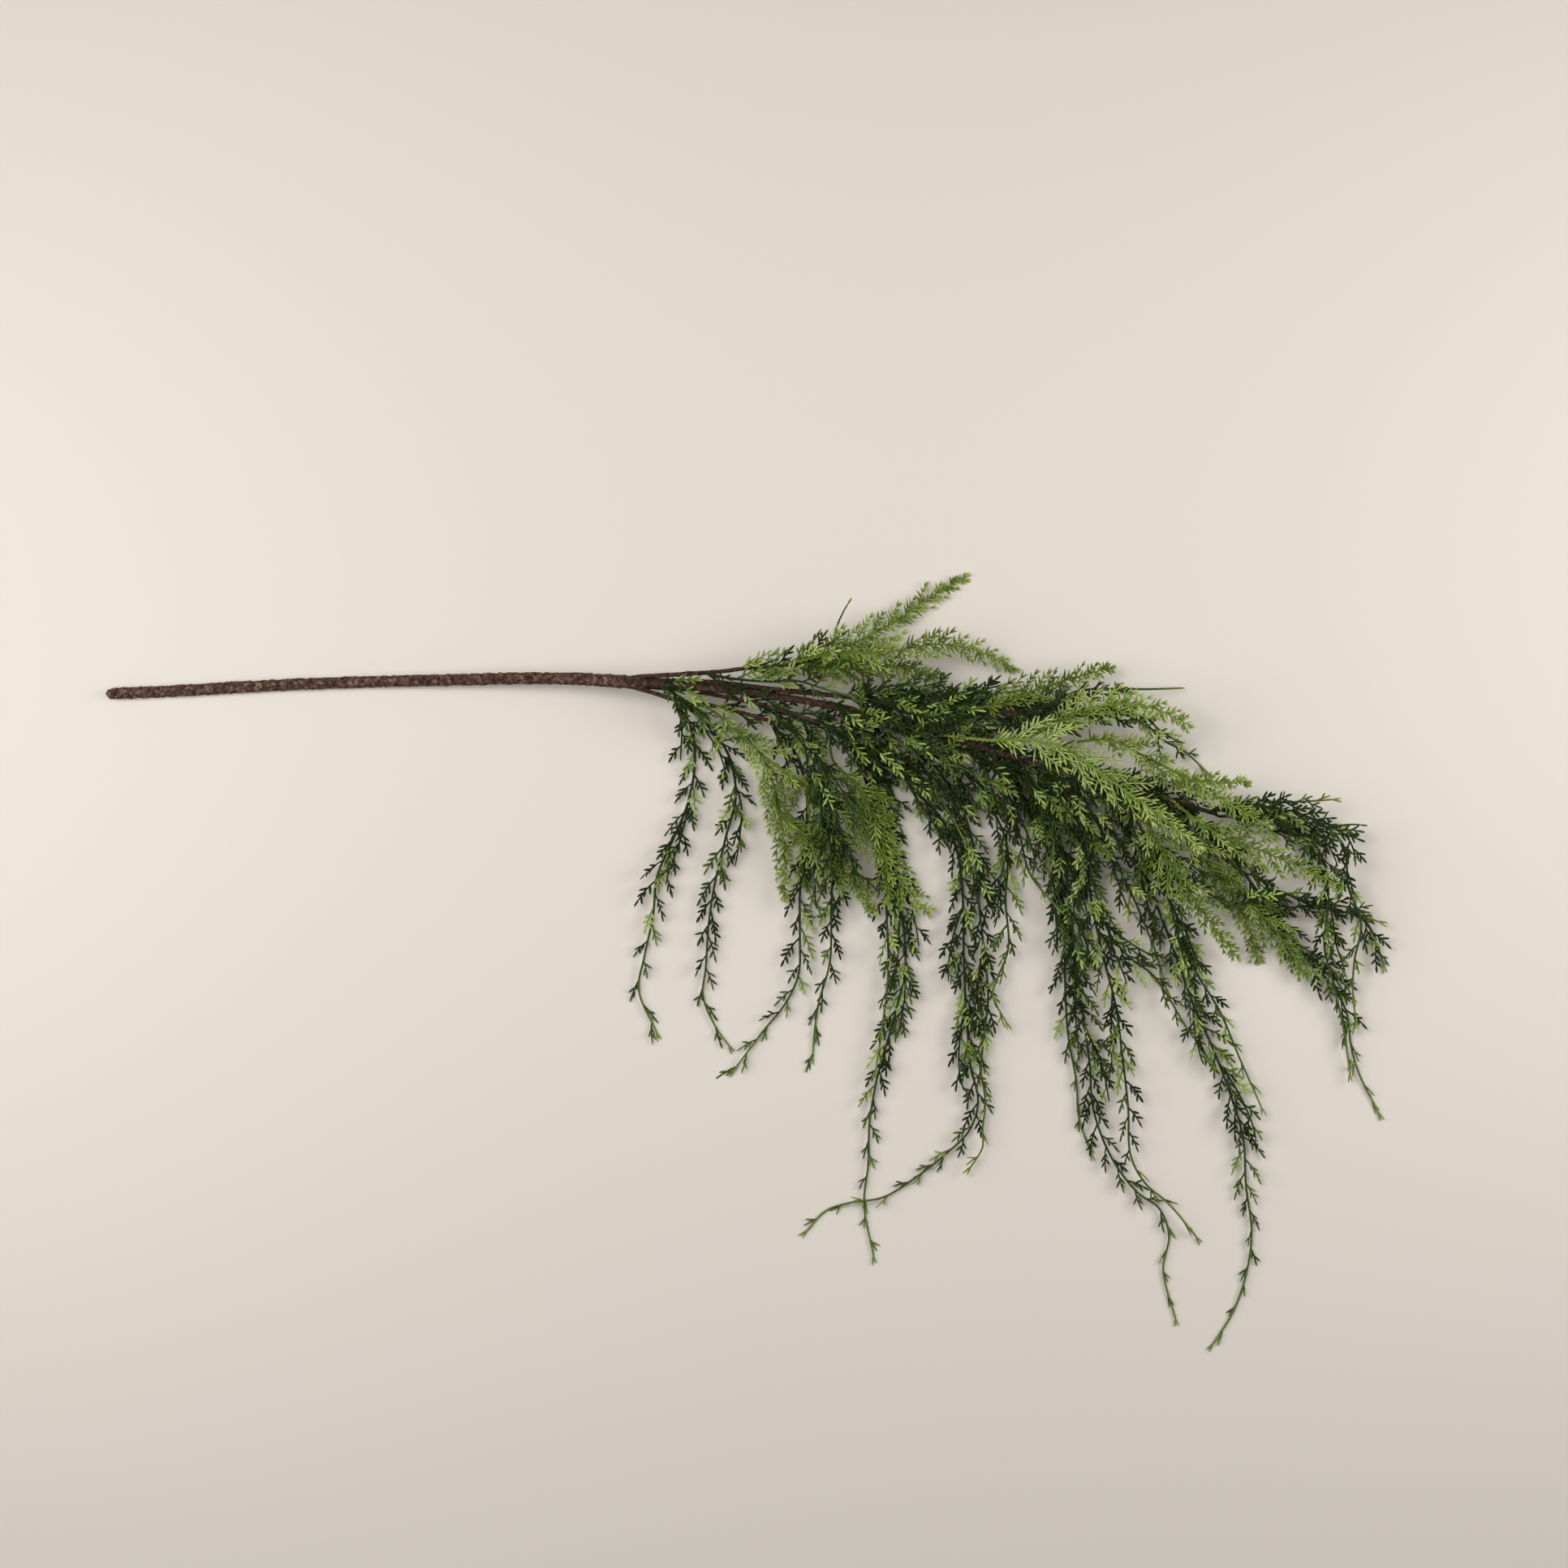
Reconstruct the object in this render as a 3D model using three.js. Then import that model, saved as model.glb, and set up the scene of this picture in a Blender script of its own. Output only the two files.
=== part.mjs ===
// An artificial cedar branch that lies on a table: a long bare stem, five thin twigs,
// hanging cedar strands with scale leaves, and feathery needle sprays.
// Millimetres, +Z up. The stem runs along +X, and the strands trail towards -Y.
import * as THREE from "three";

// Stem and twigs
const stemRadius = 4.1;
const stemTaper = [0.92, 1.02]; // share of the radius at the cut end and at the fork
const stemLength = 372;
const stemSides = 12;
const stemSteps = 30;
const buttRound = 0.8; // share of the radius left at the rounded cut end
const barkRelief = 0.28; // how far the bark lumps stand out
const restLength = 150; // the stretch of stem that lies flat
const restFlat = 0.6; // all that is lower than this is flattened there
const forkGap = 0.8; // between the stem's end and each twig
const twigSides = 7;
const twigStep = 13;
const twigRelief = 0.12;
const lumpPace = 3; // from one ring of a twig to the next, how far its lumps turn

// Sprays: half the thickness, the share of the length with a bare foot, and the share
// from which they narrow
const kinds = {
  strand: { thick: 1.5, bare: 0.06, widest: 0.5, rounded: true },
  needles: { thick: 1.7, bare: 0.1, widest: 0.3, rounded: false },
};
const shootSpacing = 9.6; // one side shoot to the next, on alternate sides
const shootLengths = [1, 0.72, 1.12, 0.84, 0.94]; // they take turns
const shootLean = 0.62; // how far a shoot leans forward, for each mm it reaches out
const footWidth = 1.6; // half width of the bare foot
const openingShare = 0.15; // of the length, from the bare foot to the full width
const valleyShare = 0.26; // half width between two side shoots
const thinnest = 1.2;
const bareTip = 0.2; // share of the half width at the tip
const endSlim = 0.5; // both ends of a spray are half as thick

// The heap of sprays
const cellSize = 3; // the table is divided into cells of this size
const cellHalfDiagonal = 0.7 * cellSize;
const touchGap = 0.4; // between sprays that lie on each other
const longestShoot = 1.15; // shoots reach no further than this share of the half width
const sideGap = 2; // beside them
const steepest = 0.55; // slope of a spray, up or down
const hoverHeight = 5; // a spray stays this far off the table between its ends
const landingShare = 0.95; // of its length, where its end has come down to the table
const hangDrop = 1.2; // from the underside of a twig to the middle of what hangs from it
const twigSamples = 200;

// The stem's centre line
const stemLine = [
  [0, 0, stemRadius * 0.93],
  [60, 2.6, stemRadius * 0.97],
  [110, 5.6, stemRadius * 0.98],
  [150, 7.3, stemRadius],
  [200, 8.8, 5.5],
  [250, 9.9, 9.5],
  [300, 10.7, 16],
  [340, 9.8, 22.5],
  [stemLength, 7.6, 28],
];

// Each twig starts on the stem's end face, at its place aside and upwards from the middle.
// Then come the points of its centre line, and its radius at both ends.
const twigs = {
  upper_twig: {
    start: [4.1, 0.2],
    line: [[400, 13, 30.5], [430, 15, 32.5], [450, 17.5, 33], [470, 19.2, 32], [487, 21.5, 30]],
    radius: [1.5, 1.35],
  },
  main_twig: {
    start: [0.2, 2],
    line: [
      [430, 4.6, 33], [470, 0, 35], [520, -9, 36.5], [560, -19, 37.5], [590, -30, 37.5], [640, -46, 34.5],
      [690, -61, 28.5], [730, -70, 22], [780, -84.5, 12],
    ],
    radius: [2.2, 1.6],
  },
  second_twig: {
    start: [1.4, -2.3],
    line: [[430, 8.6, 32], [470, 4.4, 35], [520, -2, 38], [570, -9, 40], [612, -12, 40], [658, -14, 39]],
    radius: [1.7, 1.25],
  },
  middle_twig: {
    start: [-2.2, -1.9],
    line: [[400, 3, 26], [420, 0.4, 27], [440, -3.6, 29], [460, -8, 30], [482, -14.5, 31], [522, -27, 32]],
    radius: [1.4, 1.2],
  },
  lower_twig: {
    start: [-3.9, 1],
    line: [[385, 0.3, 28], [397, -3.6, 27], [420, -7.4, 25], [440, -11.8, 24], [470, -19.8, 23]],
    radius: [1.4, 1.2],
  },
};

// Cedar strands and needle sprays, from the table up. Each has its kind, its half width,
// and its centre line seen from above. Under names the twig whose underside it hangs from;
// the others lie on what is below them. Raised tells how far its shoots' tips stand up.
const lowSprays = {
  strand_5: {
    kind: "strand", wide: 11, under: "middle_twig",
    line: [
      [510, -24], [530, -44], [545, -74], [553, -110], [558, -150], [561, -190], [553, -228],
      [542, -266], [536, -300], [535, -330], [532, -358], [539, -396],
    ],
  },
  strand_6: {
    kind: "strand", wide: 11, under: "main_twig",
    line: [
      [536, -13], [552, -46], [566, -66], [583, -84], [596, -106], [601, -140], [602, -185], [604, -230],
      [607, -262], [612, -286], [606, -306], [588, -324], [566, -341], [546, -353], [522, -357],
      [505, -363], [491, -378],
    ],
  },
  strand_30: {
    kind: "strand", wide: 9.5, under: "main_twig",
    line: [
      [622, -40], [648, -80], [664, -120], [672, -160], [673, -200], [675, -238], [681, -272],
      [683, -298], [692, -324],
    ],
  },
  strand_9: {
    kind: "strand", wide: 11, under: "main_twig",
    line: [
      [632, -43], [655, -72], [670, -105], [676, -145], [680, -185], [685, -222], [690, -258], [693, -292],
      [706, -326], [724, -350], [739, -361], [746, -380], [742, -404], [751, -440],
    ],
  },
  strand_12: {
    kind: "strand", wide: 11, under: "main_twig",
    line: [
      [694, -62], [714, -92], [736, -145], [750, -182], [763, -218], [778, -252], [790, -284], [798, -312],
      [800, -345], [804, -378], [800, -408], [791, -434], [776, -458],
    ],
  },
  strand_15: {
    kind: "strand", wide: 11, under: "main_twig",
    line: [
      [757, -78], [783, -104], [806, -136], [826, -160], [840, -183], [858, -202], [870, -222], [874, -248],
      [880, -268], [894, -295],
    ],
  },
  strand_7: {
    kind: "strand", wide: 9.5, under: "main_twig",
    line: [
      [556, -18], [584, -54], [600, -80], [609, -108], [612, -142], [616, -180], [619, -212], [616, -240],
      [614, -264], [617, -286], [615, -306], [615, -318], [606, -333],
    ],
  },
  strand_10: {
    kind: "strand", wide: 11, under: "main_twig",
    line: [
      [652, -49], [674, -76], [686, -112], [692, -150], [700, -186], [708, -218], [713, -255], [717, -290],
      [719, -324], [729, -343], [746, -358], [766, -382],
    ],
  },
  strand_8: {
    kind: "strand", wide: 11, under: "main_twig",
    line: [
      [584, -27], [606, -60], [622, -82], [632, -106], [631, -145], [633, -178], [626, -198], [622, -211],
      [632, -231],
    ],
  },
  strand_11: {
    kind: "strand", wide: 11, under: "main_twig",
    line: [[674, -56], [698, -96], [716, -134], [728, -160], [738, -186], [745, -212]],
  },
  strand_20: {
    kind: "strand", wide: 9.5, under: "main_twig",
    line: [[612, -37], [632, -70], [641, -100], [648, -126], [668, -151]],
  },
  strand_21: {
    kind: "strand", wide: 7, under: "main_twig",
    line: [
      [714, -66], [727, -98], [740, -130], [753, -162], [763, -192], [781, -222], [795, -255], [811, -291],
    ],
  },
  strand_29: {
    kind: "strand", wide: 9.5, under: "main_twig",
    line: [
      [664, -53], [680, -88], [690, -125], [702, -165], [717, -184], [734, -197], [746, -214], [756, -231],
      [778, -262],
    ],
  },
  strand_31: {
    kind: "strand", wide: 9.5, under: "main_twig",
    line: [
      [520, -9], [534, -44], [542, -80], [546, -120], [548, -160], [549, -196], [545, -232], [540, -266],
    ],
  },
  strand_1: {
    kind: "strand", wide: 11, under: "lower_twig",
    line: [
      [399, -4.2], [411, -24], [413, -52], [408, -78], [399, -100], [387, -128], [384, -156], [378, -184],
      [374, -208], [387, -239],
    ],
  },
  strand_2: {
    kind: "strand", wide: 11, under: "lower_twig",
    line: [
      [406, -5.4], [424, -24], [437, -43], [442, -72], [435, -101], [427, -135], [423, -162], [421, -192],
      [419, -212], [428, -234], [438, -248],
    ],
  },
  strand_3: {
    kind: "strand", wide: 11, under: "lower_twig",
    line: [
      [464, -18], [484, -42], [492, -74], [490, -106], [487, -140], [487, -170], [486, -197], [477, -217],
      [461, -237], [440, -265],
    ],
  },
  strand_4: {
    kind: "strand", wide: 9.5, under: "middle_twig",
    line: [
      [487, -16], [503, -46], [508, -80], [510, -115], [509, -150], [508, -188], [500, -218], [497, -240],
      [496, -256],
    ],
  },
};
const highSprays = {
  strand_23: {
    kind: "strand", wide: 9.5, line: [[878, -152], [889, -168], [894, -182], [897, -191]],
  },
  needles_1: {
    kind: "needles", wide: 20, bare: 0.12, raised: 3,
    line: [[478, 20], [500, 25], [520, 33], [541, 43], [562, 56], [582, 70], [602, 82]],
  },
  needles_3: {
    kind: "needles", wide: 10, line: [[487, 21], [520, 17], [550, 19], [570, 16], [585, 10]],
  },
  needles_2: {
    kind: "needles", wide: 17, bare: 0.14, raised: 3,
    line: [[482, 21], [514, 28], [545, 28], [567, 32], [590, 34], [614, 29], [637, 18]],
  },
  needles_4: {
    kind: "needles", wide: 18, bare: 0.26,
    line: [[403, -5], [424, -11], [442, -26], [460, -43], [468, -62], [473, -85], [476, -110], [476, -141]],
  },
  needles_5: {
    kind: "needles", wide: 16,
    line: [[463, -45], [484, -60], [506, -75], [527, -90], [544, -108], [556, -130], [576, -153]],
  },
  needles_6: {
    kind: "needles", wide: 15, line: [[474, -84], [492, -100], [510, -116], [526, -134], [538, -151]],
  },
  needles_16: {
    kind: "needles", wide: 13, line: [[512, -50], [528, -66], [540, -88], [547, -116], [550, -146]],
  },
  strand_22: {
    kind: "strand", wide: 7, line: [[472, -19], [490, -33], [500, -62], [503, -92], [506, -128]],
  },
  needles_12: {
    kind: "needles", wide: 16, bare: 0.12,
    line: [[735, -72], [756, -100], [774, -122], [790, -142], [801, -162], [808, -186]],
  },
  needles_13: {
    kind: "needles", wide: 14, line: [[790, -132], [808, -152], [826, -174], [842, -198]],
  },
  needles_14: {
    kind: "needles", wide: 16, line: [[718, -68], [732, -96], [748, -124], [768, -152], [793, -184]],
  },
  strand_14: {
    kind: "strand", wide: 7, line: [[792, -148], [818, -138], [845, -148], [868, -153], [894, -160]],
  },
  strand_16: {
    kind: "strand", wide: 9.5,
    line: [
      [780, -86], [812, -86], [842, -99], [855, -120], [856, -148], [854, -176], [861, -204], [868, -234],
      [873, -268],
    ],
  },
  needles_11: {
    kind: "needles", wide: 19, bare: 0.14,
    line: [[745, -74], [775, -96], [800, -106], [826, -117], [865, -134]],
  },
  strand_13: {
    kind: "strand", wide: 9.5,
    line: [
      [774, -82], [812, -80], [846, -88], [866, -105], [870, -136], [879, -160], [875, -186], [874, -210],
      [877, -231],
    ],
  },
  strand_19: {
    kind: "strand", wide: 7, line: [[776, -80], [800, -76], [830, -76], [861, -74]],
  },
  strand_24: {
    kind: "strand", wide: 9.5, line: [[500, -20], [534, -36], [560, -52], [584, -72], [603, -104]],
  },
  strand_25: {
    kind: "strand", wide: 9.5, line: [[508, -6], [540, -22], [572, -34], [600, -52], [628, -66]],
  },
  strand_26: {
    kind: "strand", wide: 9.5, line: [[420, 14], [440, 9], [464, 7], [486, 8], [506, 2], [530, -4]],
  },
  strand_27: {
    kind: "strand", wide: 9.5, line: [[640, -46], [652, -66], [662, -88], [664, -118]],
  },
  strand_28: {
    kind: "strand", wide: 7, line: [[540, -6], [566, -10], [592, -10], [618, -2], [640, 2]],
  },
  needles_15: {
    kind: "needles", wide: 17, bare: 0.14, line: [[600, -12], [624, -8], [648, 1], [672, 9], [704, 18]],
  },
  strand_18: {
    kind: "strand", wide: 4, line: [[648, -14], [680, 1], [705, 3], [730, 3], [757, 4]],
  },
  strand_17: {
    kind: "strand", wide: 7, line: [[676, -16], [704, -12], [724, -18], [740, -32], [757, -41], [774, -56]],
  },
  needles_10: {
    kind: "needles", wide: 17, raised: 3,
    line: [[676, -34], [700, -33], [716, -38], [730, -48], [748, -60], [772, -70], [812, -92]],
  },
  needles_8: {
    kind: "needles", wide: 17, raised: 5,
    line: [[636, -34], [662, -23], [682, -13], [704, -8], [730, -10], [757, -22]],
  },
  needles_9: {
    kind: "needles", wide: 9, line: [[738, -50], [758, -60], [778, -62], [797, -62]],
  },
  needles_7: {
    kind: "needles", wide: 19, bare: 0.12, raised: 9,
    line: [[590, -30], [620, -33], [648, -33], [668, -38], [686, -49], [704, -62], [728, -79], [764, -106]],
  },
};

const colours = {
  bark: 0x4a3129,
  strand: 0x37533a,
  needles: 0x6f9a42,
};

// A curve through a list of points
function smoothLine(points) {
  const places = points.map(([x, y, z = 0]) => new THREE.Vector3(x, y, z));
  return new THREE.CatmullRomCurve3(places, false, "centripetal");
}

// Even lumps that repeat along and around a stem, from -1 to 1
function lumps(along, around) {
  return 0.6 * Math.sin(along * 0.9 + around * 3) + 0.4 * Math.sin(along * 0.37 - around * 2);
}

// The directions to the side and upwards of a line that runs ahead
function acrossFrom(ahead) {
  const side = new THREE.Vector3(0, 0, 1).cross(ahead).normalize();
  return [side, ahead.clone().cross(side).normalize()];
}

// Bends a straight extrusion along a curve, and moves each point as offsetAt says
function bend(geometry, curve, offsetAt) {
  const position = geometry.getAttribute("position");
  for (let i = 0; i < position.count; i++) {
    const share = THREE.MathUtils.clamp(position.getZ(i), 0, 1);
    const offset = offsetAt(share, position.getX(i), position.getY(i));
    const ahead = curve.getTangentAt(share);
    const [side, up] = acrossFrom(ahead);
    const place = curve.getPointAt(share);
    place.addScaledVector(side, offset.side).addScaledVector(up, offset.up);
    place.addScaledVector(ahead, offset.ahead);
    position.setXYZ(i, place.x, place.y, Math.max(0, place.z));
  }
  geometry.deleteAttribute("normal");
  geometry.deleteAttribute("uv");
  return geometry;
}

// A tube along a curve: radiusAt gives its radius at a share of its length
function tube(curve, sides, steps, radiusAt) {
  const section = new THREE.Shape();
  for (let i = 0; i < sides; i++) {
    const turn = ((i + 0.5) / sides) * 2 * Math.PI - Math.PI / 2;
    section[i ? "lineTo" : "moveTo"](Math.cos(turn), Math.sin(turn));
  }
  const geometry = new THREE.ExtrudeGeometry(section, { depth: 1, steps, bevelEnabled: false });
  return bend(geometry, curve, (share, x, y) => {
    const radius = radiusAt(share, Math.atan2(y, x));
    return { side: x * radius, up: y * radius, ahead: 0 };
  });
}

// The stem: lumpy bark, a rounded cut end, and a flat underside where it rests
function makeStem() {
  const geometry = tube(smoothLine(stemLine), stemSides, stemSteps, (share, around) => {
    const end = share === 0 ? buttRound : 1;
    const taper = THREE.MathUtils.lerp(...stemTaper, share);
    return stemRadius * end * taper + barkRelief * lumps(share * stemLength, around);
  });
  const position = geometry.getAttribute("position");
  for (let i = 0; i < position.count; i++) {
    if (position.getZ(i) < restFlat && position.getX(i) < restLength) position.setZ(i, 0);
  }
  return geometry;
}

// A twig's centre line: its first point lies just off the stem's end face
function twigCurve(twig) {
  const stem = smoothLine(stemLine);
  const ahead = stem.getTangentAt(1);
  const [side, up] = acrossFrom(ahead);
  const [aside, upwards] = twig.start;
  const start = stem.getPointAt(1).addScaledVector(ahead, forkGap);
  start.addScaledVector(side, aside).addScaledVector(up, upwards);
  return smoothLine([start.toArray(), ...twig.line]);
}

function makeTwig(twig) {
  const curve = twigCurve(twig);
  const steps = Math.round(curve.getLength() / twigStep);
  return tube(curve, twigSides, steps, (share, around) => {
    const radius = THREE.MathUtils.lerp(...twig.radius, share);
    return radius + twigRelief * lumps(share * steps * lumpPace, around);
  });
}

// The heap: how high each cell of the table is filled
const heap = new Map();

function cellsAround(x, y, reach) {
  const cells = [];
  const n = Math.ceil(reach / cellSize);
  for (let i = Math.round(x / cellSize) - n; i <= Math.round(x / cellSize) + n; i++) {
    for (let j = Math.round(y / cellSize) - n; j <= Math.round(y / cellSize) + n; j++) {
      const apart = Math.hypot(i * cellSize - x, j * cellSize - y);
      if (apart <= reach + cellHalfDiagonal) cells.push(`${i} ${j}`);
    }
  }
  return cells;
}

function heapHeight(x, y, reach) {
  return Math.max(0, ...cellsAround(x, y, reach).map((cell) => heap.get(cell) ?? 0));
}

function addToHeap(x, y, reach, top) {
  for (const cell of cellsAround(x, y, reach)) heap.set(cell, Math.max(heap.get(cell) ?? 0, top));
}

// Half width of a spray at a share of its length: it opens from a bare foot, and narrows
// to its tip
function halfWidth(spray, share) {
  const { bare, widest, rounded } = kinds[spray.kind];
  const foot = spray.bare ?? bare;
  const opening = THREE.MathUtils.smoothstep(share, foot, foot + openingShare);
  const late = Math.max(0, share - widest) / (1 - widest);
  const narrowing = rounded ? THREE.MathUtils.smoothstep(late, 0, 1) : late;
  return footWidth + (spray.wide - footWidth) * opening * (1 - (1 - bareTip) * narrowing);
}

// How far to the side a spray needs room
function roomFor(spray, share) {
  return halfWidth(spray, share) * longestShoot + sideGap;
}

// The lowest height for the start of a spray that hangs from a twig
function hangHeight(twig, start) {
  const spots = twigCurve(twig).getSpacedPoints(twigSamples);
  const apart = spots.map((p) => Math.hypot(p.x - start.x, p.y - start.y));
  const nearest = spots[apart.indexOf(Math.min(...apart))];
  return nearest.z - twig.radius[0] - touchGap - hangDrop;
}

// A spray's points with their heights: on the heap, with no slope over steepest
function layDown(spray, curve, steps, half) {
  const spots = curve.getSpacedPoints(steps);
  const pace = curve.getLength() / steps;
  const ground = spots.map((p, i) => {
    const share = i / steps;
    const below = heapHeight(p.x, p.y, roomFor(spray, share));
    const hover = hoverHeight * Math.sin(Math.PI * Math.min(1, share / landingShare));
    return half + Math.max(i ? hover : 0, below ? below + touchGap : 0);
  });
  if (spray.under) ground[0] = hangHeight(twigs[spray.under], spots[0]);
  return spots.map((p, i) => {
    const heights = ground.map((g, j) => g - steepest * pace * Math.abs(i - j));
    return [p.x, p.y, Math.max(...heights)];
  });
}

// A spray: a leafy ribbon with side shoots that lean forward on alternate sides
function makeSpray(spray) {
  const half = kinds[spray.kind].thick;
  const raised = spray.raised ?? 0;
  const plan = smoothLine(spray.line);
  const steps = Math.round(plan.getLength() / shootSpacing);
  const laid = layDown(spray, plan, steps, half);
  const section = new THREE.Shape([[-1, 0], [0, -1], [1, 0], [0, 1]].map((p) => new THREE.Vector2(...p)));
  const straight = new THREE.ExtrudeGeometry(section, { depth: 1, steps, bevelEnabled: false });
  const geometry = bend(straight, smoothLine(laid), (share, x, y) => {
    const station = Math.round(share * steps);
    const slim = station === 0 || station === steps ? endSlim : 1;
    const wide = halfWidth(spray, share);
    const isShoot = slim === 1 && Math.sign(Math.round(x)) === (station % 2 ? 1 : -1);
    if (!isShoot) {
      const valley = Math.max(thinnest, wide * valleyShare);
      return { side: x * valley * slim, up: y * half * slim, ahead: 0 };
    }
    const reach = wide * shootLengths[station % shootLengths.length];
    return { side: x * reach, up: y * half + (raised * reach) / spray.wide, ahead: reach * shootLean };
  });
  laid.forEach(([x, y, z], i) => addToHeap(x, y, roomFor(spray, i / steps), z + half + raised));
  return geometry;
}

function named(name, geometry, kind) {
  const material = new THREE.MeshStandardMaterial({ color: colours[kind], roughness: 0.7, metalness: 0 });
  const mesh = new THREE.Mesh(geometry, material);
  mesh.name = name;
  return mesh;
}

const branch = new THREE.Group();

function addSprays(sprays) {
  for (const [name, spray] of Object.entries(sprays)) branch.add(named(name, makeSpray(spray), spray.kind));
}

addSprays(lowSprays);
branch.add(named("stem", makeStem(), "bark"));
for (const [name, twig] of Object.entries(twigs)) {
  branch.add(named(name, makeTwig(twig), "bark"));
  const thick = twig.radius[0];
  for (const p of twigCurve(twig).getSpacedPoints(twigSamples)) addToHeap(p.x, p.y, thick, p.z + thick);
}
addSprays(highSprays);

// The origin is the middle of the footprint, on the table
const box = new THREE.Box3().setFromObject(branch);
const middle = box.getCenter(new THREE.Vector3());
branch.position.set(-middle.x, -middle.y, -box.min.z);

export default branch;
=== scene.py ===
import math

import bmesh
import bpy
import numpy as np
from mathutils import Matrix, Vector, noise


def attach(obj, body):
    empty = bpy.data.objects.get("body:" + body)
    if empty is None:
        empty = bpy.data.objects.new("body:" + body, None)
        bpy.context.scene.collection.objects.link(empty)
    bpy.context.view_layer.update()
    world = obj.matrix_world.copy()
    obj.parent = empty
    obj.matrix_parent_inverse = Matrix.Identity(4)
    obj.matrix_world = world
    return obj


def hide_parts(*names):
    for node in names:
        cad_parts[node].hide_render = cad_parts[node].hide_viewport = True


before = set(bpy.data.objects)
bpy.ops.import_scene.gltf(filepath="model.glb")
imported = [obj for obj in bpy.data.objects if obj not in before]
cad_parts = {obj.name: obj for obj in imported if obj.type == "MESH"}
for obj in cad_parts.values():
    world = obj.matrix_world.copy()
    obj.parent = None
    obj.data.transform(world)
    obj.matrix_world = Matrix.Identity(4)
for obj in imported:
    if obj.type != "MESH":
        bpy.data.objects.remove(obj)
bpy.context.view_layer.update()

scene = bpy.context.scene
dice = np.random.default_rng(11)
mm = 0.001
worldUp = np.array([0.0, 0.0, 1.0])


# Colours

def linear(hexColour):
    parts = [int(hexColour[i:i + 2], 16) / 255 for i in (0, 2, 4)]
    return (*[c / 12.92 if c < 0.04045 else ((c + 0.055) / 1.055) ** 2.4 for c in parts], 1)


# Places on the branch, in mm: the stem's cut end is the start, x runs along it

def nodePoints(name):
    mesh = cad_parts[name].data
    points = np.empty(len(mesh.vertices) * 3, np.float32)
    mesh.vertices.foreach_get("co", points)
    return points.reshape(-1, 3).astype(float) / mm


stemPoints = nodePoints("stem")
cutRing = stemPoints[stemPoints[:, 0] < stemPoints[:, 0].min() + 0.6]
cutCentre = (cutRing.min(0) + cutRing.max(0)) / 2
cutEnd = np.array([cutCentre[0], cutCentre[1], 0.0])


# A curve through points, with a point every mm
def smoothLine(points):
    pts = np.array(points, float)
    pts = np.vstack([2 * pts[0] - pts[1], pts, 2 * pts[-1] - pts[-2]])
    fine = []
    for a, b, c, d in zip(pts, pts[1:], pts[2:], pts[3:]):
        t1 = np.linalg.norm(b - a) ** 0.5
        t2 = t1 + np.linalg.norm(c - b) ** 0.5
        t3 = t2 + np.linalg.norm(d - c) ** 0.5
        t = np.linspace(t1, t2, 40, endpoint=False)[:, None]
        ab = a * (t1 - t) / t1 + b * t / t1
        bc = b * (t2 - t) / (t2 - t1) + c * (t - t1) / (t2 - t1)
        cd = c * (t3 - t) / (t3 - t2) + d * (t - t2) / (t3 - t2)
        abc = ab * (t2 - t) / t2 + bc * t / t2
        bcd = bc * (t3 - t) / (t3 - t1) + cd * (t - t1) / (t3 - t1)
        fine.append(abc * (t2 - t) / (t2 - t1) + bcd * (t - t1) / (t2 - t1))
    fine = np.vstack([*fine, pts[-2:-1]])
    return resample(fine, 1.0)


def pathLengths(line):
    return np.concatenate([[0], np.cumsum(np.linalg.norm(np.diff(line, axis=0), axis=1))])


def resample(line, spacing):
    lengths = pathLengths(line)
    at = np.linspace(0, lengths[-1], max(2, round(lengths[-1] / spacing) + 1))
    return np.stack([np.interp(at, lengths, line[:, i]) for i in range(line.shape[1])], axis=1)


# The line of a spray seen from above, lifted to the height of its CAD solid
shootSpacing = 9.6  # mm between the solid's own side shoots
ridgeWidth = 1.8    # mm beside the line that still count as the solid's ridge


def liftLine(node, line):
    plan = smoothLine(line)
    lengths = pathLengths(plan)
    points = nodePoints(node) - cutEnd
    apart = np.linalg.norm(points[:, None, :2] - plan[None], axis=2)
    near = apart.argmin(axis=1)
    onRidge = apart.min(axis=1) < ridgeWidth
    pace = lengths[-1] / round(lengths[-1] / shootSpacing)
    station = np.round(lengths[near] / pace).astype(int)
    spots, heights = [], []
    for s in np.unique(station[onRidge]):
        z = points[onRidge & (station == s), 2]
        spots.append(s * pace)
        heights.append((z.min() + z.max()) / 2)
    z = np.interp(lengths, spots, heights)
    soft = np.convolve(np.pad(z, 6, "edge"), np.ones(13) / 13, "valid")  # a mean over 6 mm to each side
    return np.column_stack([plan, soft])


def unit(v):
    return v / np.linalg.norm(v, axis=-1, keepdims=True)


# Ahead, sideways and up at each point of a line
def framesOf(line):
    ahead = unit(np.gradient(line, axis=0))
    side = unit(np.cross(worldUp, ahead))
    return ahead, side, np.cross(ahead, side)


# The triangles of a finished bmesh, as arrays
def trianglesOf(bm):
    bmesh.ops.recalc_face_normals(bm, faces=bm.faces[:])
    bmesh.ops.triangulate(bm, faces=bm.faces[:])
    bm.verts.index_update()
    points = np.array([v.co[:] for v in bm.verts])
    faces = np.array([[v.index for v in f.verts] for f in bm.faces])
    bm.free()
    return points, faces


# Small parts, made once and copied: four-sided rods with their half width and thickness at some stations

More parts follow.
